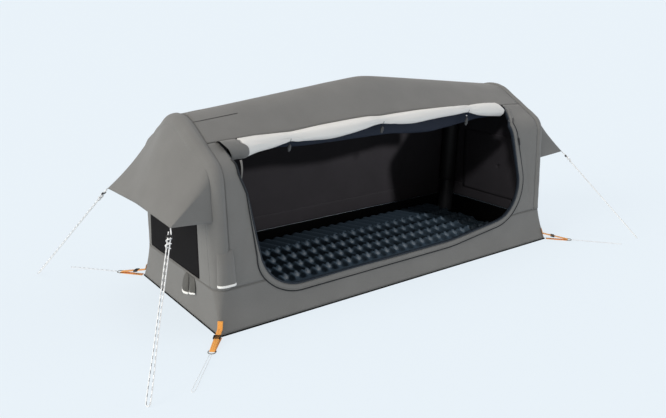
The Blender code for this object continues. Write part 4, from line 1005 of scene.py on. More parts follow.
# %% [markdown]
# ## Hoods
#
# Each hood is one sheet from the arch out to two corners that guy lines hold. Its side wings hang from
# the same corners, so every line from an arch leg runs to one point. Building it from those lines gives
# the crease from the corner to the shoulder without drawing it.

# %% Hoods
HOOD_REACH, HOOD_HALF_WIDTH, HOOD_HEIGHT = 0.174, 0.413, 0.557
HOOD_FOOT, HOOD_CLOTH, HOOD_EDGE_RISE = 0.540, 0.002, 0.015
HOOD_COLUMNS, HOOD_SINK, HOOD_SPACING = 22, 0.0055, 0.012
HOOD_GATHER, HOOD_DIP, HOOD_WAVE = 0.7, 0.010, 0.003
HOOD_LEAVE = math.radians(45)
HOOD_TURN = 1 + round(ARC_STEPS * 0.17)


def hood_corner(side, front):
    return Vector((side * (HALF_LENGTH + HOOD_REACH), front * HOOD_HALF_WIDTH, HOOD_HEIGHT))


def hood_rows(side):
    """Lines from the arch's seat out to the hood's edge."""
    seat = COVER_RADIUS + GAP + HOOD_CLOTH * 1.5
    coarse = arch_outline(HOOD_FOOT)
    limits = (coarse[HOOD_TURN][0].x, coarse[-1 - HOOD_TURN][0].x)
    rows = []
    for point, normal in evenly(coarse, HOOD_SPACING):
        centre = point - normal * COVER_RADIUS
        share = min(1, max(0, (point.x - limits[0]) / (limits[1] - limits[0])))
        spread = share + HOOD_GATHER * math.sin(2 * math.pi * share) / (2 * math.pi)
        edge = hood_corner(side, -1).lerp(hood_corner(side, 1), spread)
        edge.z += HOOD_EDGE_RISE * 4 * share * (1 - share)
        out = (edge.yz - centre).dot(normal)
        across = abs(edge.x) - ARCH_X
        tangent = math.atan2(across, out) - math.acos(min(1, seat / math.hypot(out, across)))
        angle = max(HOOD_LEAVE, tangent)
        place = centre + normal * (seat - HOOD_SINK) * math.cos(angle)
        start = Vector((side * (ARCH_X + (seat - HOOD_SINK) * math.sin(angle)), place.x, place.y))
        row = []
        for part in spaced(0, 1, HOOD_COLUMNS):
            spot = start.lerp(edge, part)
            spot.z -= HOOD_DIP * math.sin(math.pi * part) * (4 * share * (1 - share))
            row.append(spot)
        rows.append(row)
    return rows


def hood_waves(point, across, up):
    return HOOD_WAVE * math.sin(math.pi * across) * noise_at(point, (3, 5, 2.5))


for side, place in ENDS:
    under = Vector((side * HALF_LENGTH, 0, SHOULDER_HEIGHT / 2))
    rows = ruffled(hood_rows(side), hood_waves, under)
    hood = sewn("hood_" + place + "_cloth", rows, (CANVAS, LINING), HOOD_CLOTH, under, weld=True)
    dressed(hood, "canvas", "hood_" + place)
    cut_cloth(hood, "stretched", "arch_cover_" + place)

# %% [markdown]
# ## Floor, sleeves and beams
#
# Inside, a dark lining hangs behind the floor's edge on three sides. It could be a copy of the skirt,
# but only a band of it is seen, so it is that band, set in a little.

# %% Lining behind the floor's edge
LINING_TOP, LINING_FALL, LINING_INSET, LINING_CLOTH = 0.228, 0.10, 0.0042, 0.0006
BANDS = 8
heights = spaced(LINING_TOP, LINING_TOP - LINING_FALL, BANDS)
loops = [skirt_loop(height, LINING_INSET) for height in heights]
# The lining stops at the front, where the doorway is
hidden = [here for here, point in enumerate(loops[0]) if point.y < -0.2]
order = list(range(max(hidden) + 1, len(loops[0]))) + list(range(min(hidden)))
rows = [[loop[here] for here in order] for loop in loops]
lining = sewn("inner_skirt_lining", rows, (LINING,), LINING_CLOTH)
dressed(lining, "canvas")

# %% [markdown]
# The floor is a shallow tub of coated cloth with a pale piping round its top. Loops that follow the
# skirt make its wall, and the same loops drawn in to the middle close it.

# %% Tubes and tub
STRAND_WIDTH, CAP_REACH = 0.001, 0.000001


def tube_rows(points, radius, sides=12):
    """Rings of points round a path, carried along it without twist."""
    rings = []
    side = None
    for here, point in enumerate(points):
        way = (points[min(here + 1, len(points) - 1)] - points[max(here - 1, 0)]).normalized()
        if side is None:
            side = way.orthogonal().normalized()
        side = (side - way * side.dot(way)).normalized()
        other = way.cross(side)
        wide = radius(here / (len(points) - 1)) if callable(radius) else radius
        spokes = [side * math.cos(a) + other * math.sin(a) for a in round_angles(sides)]
        rings.append([point + spoke * wide for spoke in spokes])
    return rings


def tube(name, points, radius, finish, sides=12, capped=True):
    """A round tube along points, with threads along it, closed at its ends."""
    rings = tube_rows(points, radius, sides)
    if capped:
        rings = [[points[0].copy() for _ in rings[0]]] + rings + [[points[-1].copy() for _ in rings[0]]]
    build = bmesh.new()
    threads = build.loops.layers.uv.new("cloth")
    grid = [[build.verts.new(point) for point in ring] for ring in rings]
    along = running([ring[0] for ring in rings])
    cloth_faces(build, threads, grid, True, lambda row, column: (along[row], column * STRAND_WIDTH))
    if capped:
        bmesh.ops.remove_doubles(build, verts=grid[0] + grid[-1], dist=CAP_REACH)
    bmesh.ops.recalc_face_normals(build, faces=build.faces)
    return linked(name, meshed(name, build), finish)


TUB_HEIGHT, TUB_WALL, RIM_SIDE, RIM_STEP, CLOSED = 0.13, 0.002, 0.003, 0.002, 0.0005
PIPING_RADIUS, PIPING_INSET = 0.0016, 0.0012
inset = CLOTH + GAP
rim = (HALF_LENGTH, HALF_WIDTH, BASE_CORNER_RADIUS + GROUND_RIM)
upper_rim = (HALF_LENGTH - RIM_STEP, HALF_WIDTH - RIM_STEP, BASE_CORNER_RADIUS + RIM_STEP)
tub_heights = spaced(GROUND_RIM, TUB_HEIGHT, BANDS)
rows = [plan_loop(*rim, 0.0), plan_loop(*rim, RIM_SIDE), plan_loop(*upper_rim, GROUND_RIM)]
rows += [skirt_loop(height, inset) for height in tub_heights]
rows += [skirt_loop(height, inset + TUB_WALL) for height in reversed(tub_heights)]
inner = rows[-1]
rows += [[Vector((p.x * s, p.y * s, GROUND_RIM)) for p in inner] for s in (0.97, 0.8, 0.5, 0.2, CLOSED)]
rows = [[Vector((p.x * CLOSED, p.y * CLOSED, 0.0)) for p in rows[0]]] + rows
tub = sewn("tub_floor", rows, (TUB,), 0.0, UP * GROUND_RIM / 2, closed=True)
bpy.context.view_layer.update()
dressed(tub, "groundsheet_cloth", "groundsheet")
loop = skirt_loop(TUB_HEIGHT, inset + TUB_WALL + PIPING_INSET)
piping = tube("tub_piping", loop + loop[:1], PIPING_RADIUS, PIPING, sides=6, capped=False)
dressed(piping, "groundsheet_cloth")
print("piping:", round(running(loop)[-1], 2), "m round the tub")

# %% [markdown]
# The air beams are welded film, glossy and black, and each runs in a sleeve of thin polyester that ends
# in a hem above the floor, so the bare beam shows below it.

# %% Sleeves and beams
BEAM_SIDES, RIDGE_SPACING = 24, 0.03
SLEEVE_FOOT, SLEEVE_CLOTH, HEM_RADIUS = 0.25, 0.002, 0.0018
RIDGE_DROP, RIDGE_SLEEVE_RADIUS, RIDGE_BEAM_RADIUS = 0.049, 0.0485, 0.0455
BEAM_RADIUS, BEAM_SLACK = SLEEVE_RADIUS - (0.0025 + GAP) / FACET, 0.0004


def sleeve_section(radius):
    return [(radius * math.cos(a), radius * math.sin(a)) for a in round_angles(BEAM_SIDES)]


def ridge_path(reach):
    """The ridge beam's middle line, out to a reach at each end."""
    xs = spaced(-reach, reach, round(2 * reach / RIDGE_SPACING))
    return [lifted(x, 0, ARCH_TOP) - UP * (CLOTH + GAP + RIDGE_DROP) for x in xs]


for side, place in ENDS:
    rows = swept(SLEEVE_FOOT, side, sleeve_section(SLEEVE_RADIUS))
    middle = Vector((side * ARCH_X, rows[0][0].y + SLEEVE_RADIUS, SLEEVE_FOOT))
    sleeve = sewn("sleeve_" + place, rows, (SLEEVE,), SLEEVE_CLOTH, middle, closed=True)
    dressed(sleeve, "sleeve_cloth", "arch_sleeve_" + place)
    for end, ring in (("_front", rows[0]), ("_back", rows[-1])):
        hem_name = "sleeve_hem_" + place + end
        hem = tube(hem_name, ring + ring[:1], HEM_RADIUS, SLEEVE, sides=6, capped=False)
        dressed(hem, "sleeve_cloth")
rows = tube_rows(ridge_path(ARCH_X - SLEEVE_RADIUS - GAP), RIDGE_SLEEVE_RADIUS, BEAM_SIDES)
sleeve = sewn("sleeve_ridge", rows, (SLEEVE,), SLEEVE_CLOTH, UP, closed=True)
dressed(sleeve, "sleeve_cloth", "ridge_sleeve")

for side, place in ENDS:
    rows = swept(ABOVE_RIM, side, sleeve_section(BEAM_RADIUS - BEAM_SLACK))
    for end in (0, -1):
        centre = sum(rows[end], Vector()) / len(rows[end])
        cap = [[centre + (p - centre) * s for p in rows[end]] for s in (0.9, 0.5, 0.001)]
        rows = cap[::-1] + rows if end == 0 else rows + cap
    middle = Vector((side * ARCH_X, 0, INSIDE.z))
    beam = sewn("arch_beam_" + place, rows, (BEAM_FILM,), 0.0, middle, closed=True)
    build = bmesh.new()
    build.from_mesh(beam.data)
    bmesh.ops.recalc_face_normals(build, faces=build.faces)
    build.to_mesh(beam.data)
    build.free()
    dressed(beam, "beam_film", *(["air_frame"] if side < 0 else []))
ridge = tube("ridge_beam", ridge_path(ARCH_X), RIDGE_BEAM_RADIUS, BEAM_FILM, sides=BEAM_SIDES)
dressed(ridge, "beam_film")
print("sleeves and beams are in")

# %% [markdown]
# ## The air mat
#
# The mat is two films welded in a pattern of bone-shaped knobs, those of one row between those of the
# next, with slanting ribs along its back. The pattern follows from a few sums on a point's place, which
# is a job for Geometry Nodes. A grid is raised by them, rounded down to the weld at its edge, and joined
# to an underside that meets it there.

# %% Mat tree
MAT_LENGTH, MAT_WIDTH, MAT_THICKNESS = 1.98, 0.85, 0.085
MAT_SIZES = {
    "Length": MAT_LENGTH, "Width": MAT_WIDTH, "Thickness": MAT_THICKNESS,
    "Knob": 0.030, "Pitch": 0.0715, "Row": 0.126, "First": 0.256,
    "Margin": 0.175, "Ribs": 0.185, "Slant": 0.41, "Edge": 0.035,
}
MAT_GRID = {"Vertices X": 337, "Vertices Y": 145}
MAT_WELD = 0.00005
SIGNS = {
    "*": "MULTIPLY", "+": "ADD", "-": "SUBTRACT", "/": "DIVIDE", "^": "POWER", "min": "MINIMUM",
    "max": "MAXIMUM", "abs": "ABSOLUTE", "cos": "COSINE", "sqrt": "SQRT", "pingpong": "PINGPONG",
}
# Each line names a value and the one sum that makes it
ROOM_SUMS = """
half_x = Length * 0.5
half_y = Width * 0.5
away_x = abs x
away_y = abs y
room_x = half_x - away_x
room_y = half_y - away_y
room = room_x min room_y
front_room = y + half_y
back_room = half_y - y
back_past = back_room - Ribs
back_share = back_past * 40
back_low = back_share min 1
free = back_low max 0
deep = back_past * -1
in_ribs = deep max 0
slant = in_ribs * Slant
shifted = x + slant
front_past = front_room - Margin
front_share = front_past * 35
front_low = front_share min 1
clear = front_low max 0
row_room = front_room - First
row_turns = row_room / Row
row_middle = row_turns - 0.5
away_a = row_middle pingpong 1
away_b = 1 - away_a
turns = shifted / Pitch
angle = turns * circle
wave = cos angle
half_wave = wave * 0.5
rib_a = half_wave + 0.5
rib_b = 1 - rib_a
"""
# These make one knob of each set: wide and high at its ends, narrow and low at its waist
KNOB_SUMS = """
near_ = away_ * 2.3
ends_ = near_ min 1
end_ = ends_ ^ 2.0
cut_ = end_ * -1.75
power_ = cut_ + 2.5
ridge_ = rib_ ^ power_
swell_ = end_ * 0.30
height_ = swell_ + 0.70
past_ = 0.68 - away_
close_ = past_ * 5
near_end_ = close_ min 1
cover_ = near_end_ max 0
round_ = cover_ ^ 0.7
bone_low_ = ridge_ * height_
bone_ = bone_low_ * round_
"""
FILM_SUMS = """
bones = bone_a max bone_b
bones_free = bones * free
ribs_cut = 1 - free
ribs_high = rib_a * ribs_cut
ribs_low = ribs_high * 0.75
relief = bones_free + ribs_low
relief_clear = relief * clear
flat_cut = 1 - clear
flat = flat_cut * 0.42
relief_all = relief_clear + flat
knob = relief_all * Knob
edge_share = room / Edge
edge_low = edge_share min 1
edge_left = 1 - edge_low
edge_square = edge_left * edge_left
edge_inside = 1 - edge_square
edge_safe = edge_inside max 0
dome = sqrt edge_safe
half_thick = Thickness * 0.5
body = half_thick - Knob
lift_a = body + knob
lift = lift_a * dome
upper = half_thick + lift
drop = half_thick * dome
lower = half_thick - drop
"""


def read_sums(lines, letter=""):
    """The words of each line. Names that end in a low line belong to one set of knobs."""
    found = []
    for line in lines.strip().splitlines():
        found.append([word + letter if word.endswith("_") else word for word in line.split()])
    return found


MAT_SUMS = read_sums(ROOM_SUMS) + read_sums(KNOB_SUMS, "a") + read_sums(KNOB_SUMS, "b") + read_sums(FILM_SUMS)
print("mat rule:", len(MAT_SUMS), "sums")


def rule_tree(name, sizes, *ways):
    """A geometry tree with the given sizes as its inputs."""
    tree = bpy.data.node_groups.new(name, "GeometryNodeTree")
    tree.is_modifier = True
    for way in ways:
        tree.interface.new_socket("Geometry", in_out=way, socket_type="NodeSocketGeometry")
    for label, size in sizes.items():
        socket = tree.interface.new_socket(label, in_out="INPUT", socket_type="NodeSocketFloat")
        socket.default_value = size
    return tree


def mat_tree():
    tree = rule_tree("knobbed_mat", MAT_SIZES, "OUTPUT")
    sizes = add(tree, "NodeGroupInput")
    place = add(tree, "GeometryNodeInputPosition")
    split = add(tree, "ShaderNodeSeparateXYZ", {0: place.outputs[0]})
    values = {name: sizes.outputs[name] for name in MAT_SIZES}
    values.update(x=split.outputs["X"], y=split.outputs["Y"], circle=2 * math.pi)
    for name, _, *words in MAT_SUMS:
        sign = next(word for word in words if word in SIGNS)
        parts = [values[word] if word in values else float(word) for word in words if word != sign]
        made = add(tree, "ShaderNodeMath", dict(enumerate(parts)), operation=SIGNS[sign])
        values[name] = made.outputs[0]
    films = []
    for side in ("upper", "lower"):
        film = add(tree, "GeometryNodeMeshGrid", {
            "Size X": values["Length"], "Size Y": values["Width"], **MAT_GRID,
        })
        level = add(tree, "ShaderNodeCombineXYZ", {"Z": values[side]})
        raised = add(tree, "GeometryNodeSetPosition", {
            "Geometry": film.outputs["Mesh"], "Offset": level.outputs[0],
        })
        films.append(raised.outputs["Geometry"])
    turned = add(tree, "GeometryNodeFlipFaces", {"Mesh": films[1]})
    joined = add(tree, "GeometryNodeJoinGeometry")
    tree.links.new(turned.outputs[0], joined.inputs[0])
    tree.links.new(films[0], joined.inputs[0])
    welded = add(tree, "GeometryNodeMergeByDistance", {"Geometry": joined.outputs[0], "Distance": MAT_WELD})
    solid = add(tree, "GeometryNodeRealizeInstances", {"Geometry": welded.outputs[0]})
    smooth = add(tree, "GeometryNodeSetShadeSmooth", {"Geometry": solid.outputs[0]})
    coated = add(tree, "GeometryNodeSetMaterial", {"Geometry": smooth.outputs[0], "Material": MAT_FILM})
    result = add(tree, "NodeGroupOutput")
    tree.links.new(coated.outputs[0], result.inputs[0])
    return tree

# %% [markdown]
# The finished tree is applied, so that the mat is a plain mesh like every other piece.

# %% Mat
def grown(name, tree, mesh=None):
    """A plain mesh made by a node tree."""
    piece = linked(name, mesh or bpy.data.meshes.new(name))
    piece.modifiers.new("rule", "NODES").node_group = tree
    return plain(piece)


mat = grown("knobbed_air_mat", mat_tree())
mat.data.transform(Matrix.Translation(UP * ABOVE_RIM))
dressed(mat, "mat_film", "air_mat")
print("mat:", len(mat.data.polygons), "faces")

# %% [markdown]
# ## Hard pieces
#
# Buckles, runners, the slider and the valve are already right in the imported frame, but their edges are
# knife sharp. Modelling them again would risk their fit, so each is copied, its flat faces are merged,
# and a small bevel rounds its edges. The copy rides on the same body as its original.

# %% Rounded copies
def softened(node, width, finish, slot, body):
    """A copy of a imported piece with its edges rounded."""
    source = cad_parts[node]
    mesh = source.data.copy()
    mesh.transform(source.matrix_world)
    build = bmesh.new()
    build.from_mesh(mesh)
    bmesh.ops.remove_doubles(build, verts=build.verts, dist=0.00001)
    bmesh.ops.dissolve_limit(build, angle_limit=math.radians(1), verts=build.verts, edges=build.edges)
    build.to_mesh(mesh)
    build.free()
    mesh.materials.clear()
    piece = linked(node + "_rounded", mesh, finish)
    edge = piece.modifiers.new("edge", "BEVEL")
    edge.width = width
    edge.segments = 2
    edge.limit_method = "ANGLE"
    edge.angle_limit = math.radians(30)
    piece = plain(piece)
    for polygon in piece.data.polygons:
        polygon.use_smooth = True
    piece.data.set_sharp_from_angle(angle=math.radians(40))
    return dressed(piece, slot, node, body=body)


EDGE_WIDTHS = {"valve_body": 0.0004, "valve_cap": 0.0006, "zip_slider": 0.0006, "zip_pull": 0.0004}
CORNERS = [(side_x, side_y) for side_x in (-1, 1) for side_y in (-1, 1)]


def corner_name(side_x, side_y):
    return ("front" if side_y < 0 else "back") + "_" + ("left" if side_x < 0 else "right")


for corner in CORNERS:
    EDGE_WIDTHS["anchor_buckle_" + corner_name(*corner)] = 0.0012
    EDGE_WIDTHS["guy_runner_" + corner_name(*corner)] = 0.0010
for node, width in EDGE_WIDTHS.items():
    softened(node, width, ACETAL, "black_plastic", "tent" if node == "valve_body" else node)
print("rounded:", len(EDGE_WIDTHS), "pieces")

# %% [markdown]
# ## Flaps
#
# The valve and the cable hole are covered by tongues of cloth that are sewn at the top only, so they
# stand off the wall and lift. A white tape binds each lower edge. They ride on bodies of their own.

# %% Valve flap
FLAP_TOP, FLAP_FOOT, FLAP_END_SIDE, FLAP_DOOR_SIDE = 0.4004, 0.227, 0.047, 0.043
FLAP_CLOTH, FLAP_STAND, FLAP_COLUMNS = 0.002, 0.018, 24
FLAP_FOLD, FLAP_SINK, SINK_SHARE = 0.0022, 0.0018, 0.20
HEM_CLOTH, HEM_STAND, HEM_STEPS = 0.0042, 0.0011, 4


def skin_point(along, height, stand):
    """A point over the front left leg: along is measured on the cloth, towards the door."""
    y, normal = front_surface(height)
    centre = Vector((-ARCH_X, y, height)) - normal * COVER_RADIUS
    angle = max(0, -along) / COVER_RADIUS
    out = normal * math.cos(angle) - ALONG * math.sin(angle)
    return centre + out * (COVER_RADIUS + stand) + ALONG * max(0, along)


def flap_rows(first, last, extra, steps=26):
    """Rows down the flap between two shares of its fall."""
    rows = []
    for fall in spaced(first, last, steps):
        height = FLAP_TOP + (FLAP_FOOT - FLAP_TOP) * fall
        swell = math.sin(math.pi / 2 * min(1, fall / 0.4))
        width = 0.85 + 0.15 * fall
        row = []
        for place in spaced(-1, 1, FLAP_COLUMNS):
            along = place * (FLAP_DOOR_SIDE if place > 0 else FLAP_END_SIDE)
            bulge = 1 - 0.7 * place ** 4
            fold = FLAP_FOLD * swell * noise.noise(Vector((place * 2.4, fall * 1.6, 7.0)))
            sunk = FLAP_SINK * max(0, 1 - fall / SINK_SHARE) ** 2
            stand = GAP + FLAP_CLOTH + FLAP_STAND * swell * bulge + fold * (1 - place ** 2) + extra - sunk
            row.append(skin_point(along * width, height, stand))
        rows.append(row)
    return rows


leg = Vector((-ARCH_X, -WALL_Y + COVER_RADIUS, 0.31))
flap = sewn("valve_flap_cloth", flap_rows(0, 1, 0.0), (CANVAS, LINING), FLAP_CLOTH, leg)
dressed(flap, "canvas", "valve_flap", body="valve_flap")
cut_cloth(flap, "hung", "arch_cover_left")
rows = flap_rows(0.942, 1.008, HEM_STAND, HEM_STEPS)
hem = sewn("valve_flap_hem", rows, (HEM_TAPE,), HEM_CLOTH, leg)
dressed(hem, "canvas", body="valve_flap")

# %% [markdown]
# The cable hole has two half sleeves. Each is a tongue with its outer top corner drawn in, so one
# function makes both.

# %% Cable flaps
CABLE_TOP, CABLE_FOOT, CABLE_DROOP, CABLE_COLUMNS = 0.203, 0.095, 0.007, 18
CABLE_FLAP_WIDTH, CABLE_SPLIT, CABLE_STAND, CABLE_SHORT = 0.072, 0.008, 0.016, 0.018


def cable_rows(side, first, last, extra, steps=20):
    """Rows down one flap: round at its top outer corner, and straight where the two meet."""
    middle = CABLE_Y + side * (CABLE_SPLIT + CABLE_FLAP_WIDTH) / 2
    foot = CABLE_FOOT if side > 0 else CABLE_FOOT + CABLE_SHORT
    rows = []
    for fall in spaced(first, last, steps):
        height = CABLE_TOP + (foot - CABLE_TOP) * fall
        swell = CABLE_STAND * math.sin(math.pi / 2 * min(1, fall))
        drawn = (0.60 if side > 0 else 0.25) * max(0, 1 - fall / 0.75) ** 2
        row = []
        for place in spaced(-1, 1, CABLE_COLUMNS):
            outer = max(0, place * side)
            stand = GAP + FLAP_CLOTH + swell * (1 - 0.8 * place ** 2) + extra
            y = middle + place * CABLE_FLAP_WIDTH / 2
            y -= side * drawn * CABLE_FLAP_WIDTH * (place * side + 1) / 2
            droop = CABLE_DROOP * (1 - (1 - outer) ** 2) * fall
            row.append(Vector((-skirt_half_length(height) - stand, y, height + droop)))
        rows.append(row)
    return rows


for side, place in ((-1, "front"), (1, "back")):
    body = "cable_flap_" + place
    flap = sewn(body + "_cloth", cable_rows(side, 0, 1, 0.0), (FLAP_CLOTH_DARK, LINING), FLAP_CLOTH)
    dressed(flap, "canvas", body, body=body)
    cut_cloth(flap, "hung", "wall_skirt")
    hem = sewn(body + "_hem", cable_rows(side, 0.9, 1.01, HEM_STAND, HEM_STEPS), (HEM_TAPE,), HEM_CLOTH)
    dressed(hem, "canvas", body=body)

# %% [markdown]
# ## Door
#
# A bound lip runs round the opening, and outside it the zip. Both are strips carried along the door's
# edge: at each point the edge has a way along, a way out of the wall, and a way across.

# %% Strips along the door
def door_frames(offset, top=SEAM_HEIGHT - 0.002, spacing=DOOR_SPACING):
    """(point, way out of the wall, way across) along the door's edge, or outside it."""
    path = [p for p in door_path(offset, spacing) if p.y <= top]
    points = [on_front(p.x, p.y) for p in path]
    outs = [front_surface(p.y)[1] for p in path]
    frames = []
    for here, (point, out) in enumerate(zip(points, outs)):
        along = (points[min(here + 1, len(points) - 1)] - points[max(here - 1, 0)]).normalized()
        frames.append((point, out, along.cross(out).normalized()))
    return frames


def strip(name, frames, section, finish, thickness, drawn=False):
    """A strip along the door. A drawn one narrows where the zip comes close to the edge."""
    rows = []
    for point, out, across in frames:
        share = drawn_in(point.xz) if drawn else 1.0
        rows.append([point + across * wide * share + out * stand for wide, stand in section])
    return sewn(name, rows, (finish,), thickness)


# Each section is (across towards the opening, out of the wall) from edge to edge
LIP_SECTION = (
    (0.007, 0.0006), (0.004, 0.0016), (0.0005, 0.0018), (-0.0012, 0.0004), (-0.0010, -0.006), (0.0, -0.018),
)
PLACKET_SECTION = ((0.006, 0.0006), (0.0, 0.0016), (-0.020, 0.0014), (-0.026, 0.0006))
TAPE_SECTION = ((-0.0028, 0.0024), (0.0, 0.0026), (0.0028, 0.0024))
STRIP_CLOTH, PLACKET_CLOTH, PLACKET_OFFSET = 0.0016, 0.001, 0.034
ZIP_TOP, ZIP_SPACING, TEETH_STAND = SEAM_HEIGHT - 0.062, 0.008, 0.0031
lip = strip("door_lip", door_frames(0.0), LIP_SECTION, BINDING, STRIP_CLOTH)
dressed(lip, "canvas")
frames = door_frames(PLACKET_OFFSET)
placket = strip("door_placket", frames, PLACKET_SECTION, CANVAS, PLACKET_CLOTH, drawn=True)
dressed(placket, "canvas")
zip_frames = door_frames(ZIP_OFFSET, ZIP_TOP, ZIP_SPACING)
tape = strip("zip_tape", zip_frames, TAPE_SECTION, ZIP_TAPE, STRIP_CLOTH)
dressed(tape, "zip_tape", "door_zip")
print("zip:", round(running([point for point, _, _ in zip_frames])[-1], 2), "m long")


# %% [markdown]
# Teeth and stitches are hundreds of equal rods in rows. Copies made one by one would be slow to change,
# so one small tree sets a rod on points along a line, and its inputs give the sizes.

# %% Zip teeth
def lines_mesh(name, lines):
    """A mesh of loose edges along rows of points."""
    mesh = bpy.data.meshes.new(name)
    points = [point for line in lines for point in line]
    edges = []
    start = 0
    for line in lines:
        edges += [(start + here, start + here + 1) for here in range(len(line) - 1)]
        start += len(line)
    mesh.from_pydata(points, edges, [])
    return mesh


def row_tree(name, finish, pitch, size):
    """Small rounded rods that lie along lines at a pitch, for stitches and zip teeth."""
    tree = rule_tree(name, {"Pitch": pitch, "Length": size[0], "Radius": size[1]}, "INPUT", "OUTPUT")
    source = add(tree, "NodeGroupInput")
    curve = add(tree, "GeometryNodeMeshToCurve", {"Mesh": source.outputs["Geometry"]})
    spots = add(
        tree, "GeometryNodeCurveToPoints", {"Curve": curve.outputs[0], "Length": source.outputs["Pitch"]},
        mode="LENGTH",
    )
    turn = add(tree, "FunctionNodeAlignRotationToVector", {"Vector": spots.outputs["Tangent"]}, axis="Z")
    rod = add(tree, "GeometryNodeMeshCylinder", {
        "Vertices": 5, "Radius": source.outputs["Radius"], "Depth": source.outputs["Length"],
    })
    placed = add(tree, "GeometryNodeInstanceOnPoints", {
        "Points": spots.outputs["Points"], "Instance": rod.outputs["Mesh"], "Rotation": turn.outputs[0],
    })
    solid = add(tree, "GeometryNodeRealizeInstances", {"Geometry": placed.outputs[0]})
    coated = add(tree, "GeometryNodeSetMaterial", {"Geometry": solid.outputs[0], "Material": finish})
    result = add(tree, "NodeGroupOutput")
    tree.links.new(coated.outputs[0], result.inputs[0])
    return tree


TOOTH_PITCH, TOOTH_SIZE = 0.0036, (0.0024, 0.0016)
teeth_line = [point + out * TEETH_STAND for point, out, _ in zip_frames]
tooth_row = row_tree("tooth_row", TEETH, TOOTH_PITCH, TOOTH_SIZE)
teeth = grown("zip_teeth", tooth_row, lines_mesh("teeth_line", [teeth_line]))
dressed(teeth, "zip_tape")
print("teeth:", len(teeth.data.polygons), "faces")

# %% [markdown]
# ## Rolled door
#
# The door is rolled up lining outward and held by three ties. Seen from the end it is a spiral, and from
# the front its last edge shows as a soft line. A cloth simulation could roll it, but a roll is a known
# shape: an oval that runs out to a tongue at the seam, drawn in under each tie and full between them.
# Folds fan out from every tie and die away.

# %% Roll shape
ROLL_START, ROLL_RIGHT, ROLL_SKEW = -0.955, 0.893, 0.045
ROLL_SPACING, ROLL_END_REACH, TIP_CLEAR = 0.007, 0.012, 1.02
ROLL_DEPTH_SHARE, ROLL_STAND_OFF = 0.9, 0.032
TIE_PLACES = {"left": -0.67, "middle": -0.07, "right": 0.59}
TIE_WIDTH = 0.012
# Depths of the lining's folds: fans at the ties, slow swells, lengthwise lines, the lap and the hollow
FAN_DEPTH, SLOW_DEPTH, LINE_DEPTH, LAP_DEPTH, HOLLOW_DEPTH = 0.0042, 0.0026, 0.0007, 0.0042, 0.004
# Place along the roll, and its half height there
ROLL_PROFILE = (
    (-1.10, 0.040), (-1.0, 0.0415), (-0.93, 0.0450), (-0.87, 0.0385), (-0.77, 0.031), (-0.69, 0.0225),
    (-0.66, 0.021), (-0.587, 0.027), (-0.45, 0.035), (-0.349, 0.036), (-0.20, 0.029), (-0.09, 0.0195),
    (-0.05, 0.0195), (0.06, 0.0285),
    (0.216, 0.0335), (0.377, 0.0285), (0.502, 0.0255), (0.575, 0.022), (0.605, 0.0225), (0.68, 0.033),
    (0.767, 0.039), (0.90, 0.0435),
)

# Place along the roll, and how far it stands above the seam there
ROLL_RISES = (
    (-1.2, 0.0), (0.12, 0.0), (0.30, 0.007), (0.42, 0.012), (0.60, 0.015), (0.73, 0.0215), (0.95, 0.0225),
)


def tie_distance(x):
    """Signed distance to the nearest tie."""
    return min((x - tie for tie in TIE_PLACES.values()), key=abs)


def fullness(x):
    """0 under a tie, 1 well away from the ties."""
    reach = max(0, abs(tie_distance(x)) - TIE_WIDTH) / (4 * TIE_WIDTH)
    return 1 - math.exp(-reach * reach)


def seam_at(x):
    return lifted(x, -DOOR_SEAM_Y, SEAM_HEIGHT).z - edge_sag(x, -DOOR_SEAM_Y)


def roll_rise(x):
    """The roll's right end rides up over the seam."""
    return profiled(ROLL_RISES, x)


def roll_centre(x):
    radius = profiled(ROLL_PROFILE, x)
    return Vector((x, -DOOR_SEAM_Y - ROLL_STAND_OFF, seam_at(x) + roll_rise(x) - radius)), radius


def tongue_loop(centre, half_depth, half_height, tip, fold, count=52):
    """A loop across X round a roll, running out to a tip where the sheet leaves it."""
    reach = Vector(((tip.y - centre.y) / half_depth, (tip.z - centre.z) / half_height))
    way = math.atan2(reach.y, reach.x)
    far = max(reach.length, 1.0001)
    spread = math.acos(1 / far)
    loop = [tip]
    lead = 4

    def on_roll(angle, out=0):
        across, up = (half_depth + out) * math.cos(angle), (half_height + out) * math.sin(angle)
        return centre + Vector((0, across, up))

    for step in range(1, lead + 1):
        loop.append(tip.lerp(on_roll(way + spread), step / (lead + 1)))
    for step in range(count - 2 * lead - 1):
        angle = way + spread + (2 * math.pi - 2 * spread) * step / (count - 2 * lead - 2)
        loop.append(on_roll(angle, fold(centre.x, angle)))
    for step in range(lead, 0, -1):
        loop.append(tip.lerp(on_roll(way - spread), step / (lead + 1)))
    return loop


def door_fold(x, angle):
    """How far the lining stands out of the plain roll at a place on it."""
    away = abs(tie_distance(x))
    near = math.exp(-(away / 0.085) ** 2) * min(1, away / 0.012)
    twist = 5 * noise.noise(Vector((x * 7, 1.5 * math.cos(angle), 3.0 + 1.5 * math.sin(angle))))
    fan = -FAN_DEPTH * near * max(0, math.sin(4.5 * angle + twist)) ** 2
    slow = SLOW_DEPTH * noise.noise(Vector((x * 6, 1.2 * math.cos(angle), 1.2 * math.sin(angle))))
    lengthwise = LINE_DEPTH * noise.noise(Vector((x * 2.2, 4 * math.cos(angle), 4 * math.sin(angle))))
    lap_angle = math.pi - 0.55 + 1.1 * eased((x + 0.95) / 0.30)
    turned = (angle - lap_angle) % (2 * math.pi)
    lapped = turned < math.pi and x < TIE_PLACES["left"]
    lap = LAP_DEPTH * math.exp(-turned / 1.2) if lapped else 0.0
    crescent = 0.0
    if tie_distance(x) > 0:
        low = math.exp(-((angle - 1.30 * math.pi) / 0.30) ** 2)
        crescent = HOLLOW_DEPTH * low * math.exp(-((away - 0.045) / 0.030) ** 2)
    return (fan + crescent + (slow + lengthwise + lap) * min(1, away / 0.02)) * eased((x + 0.93) / 0.06)


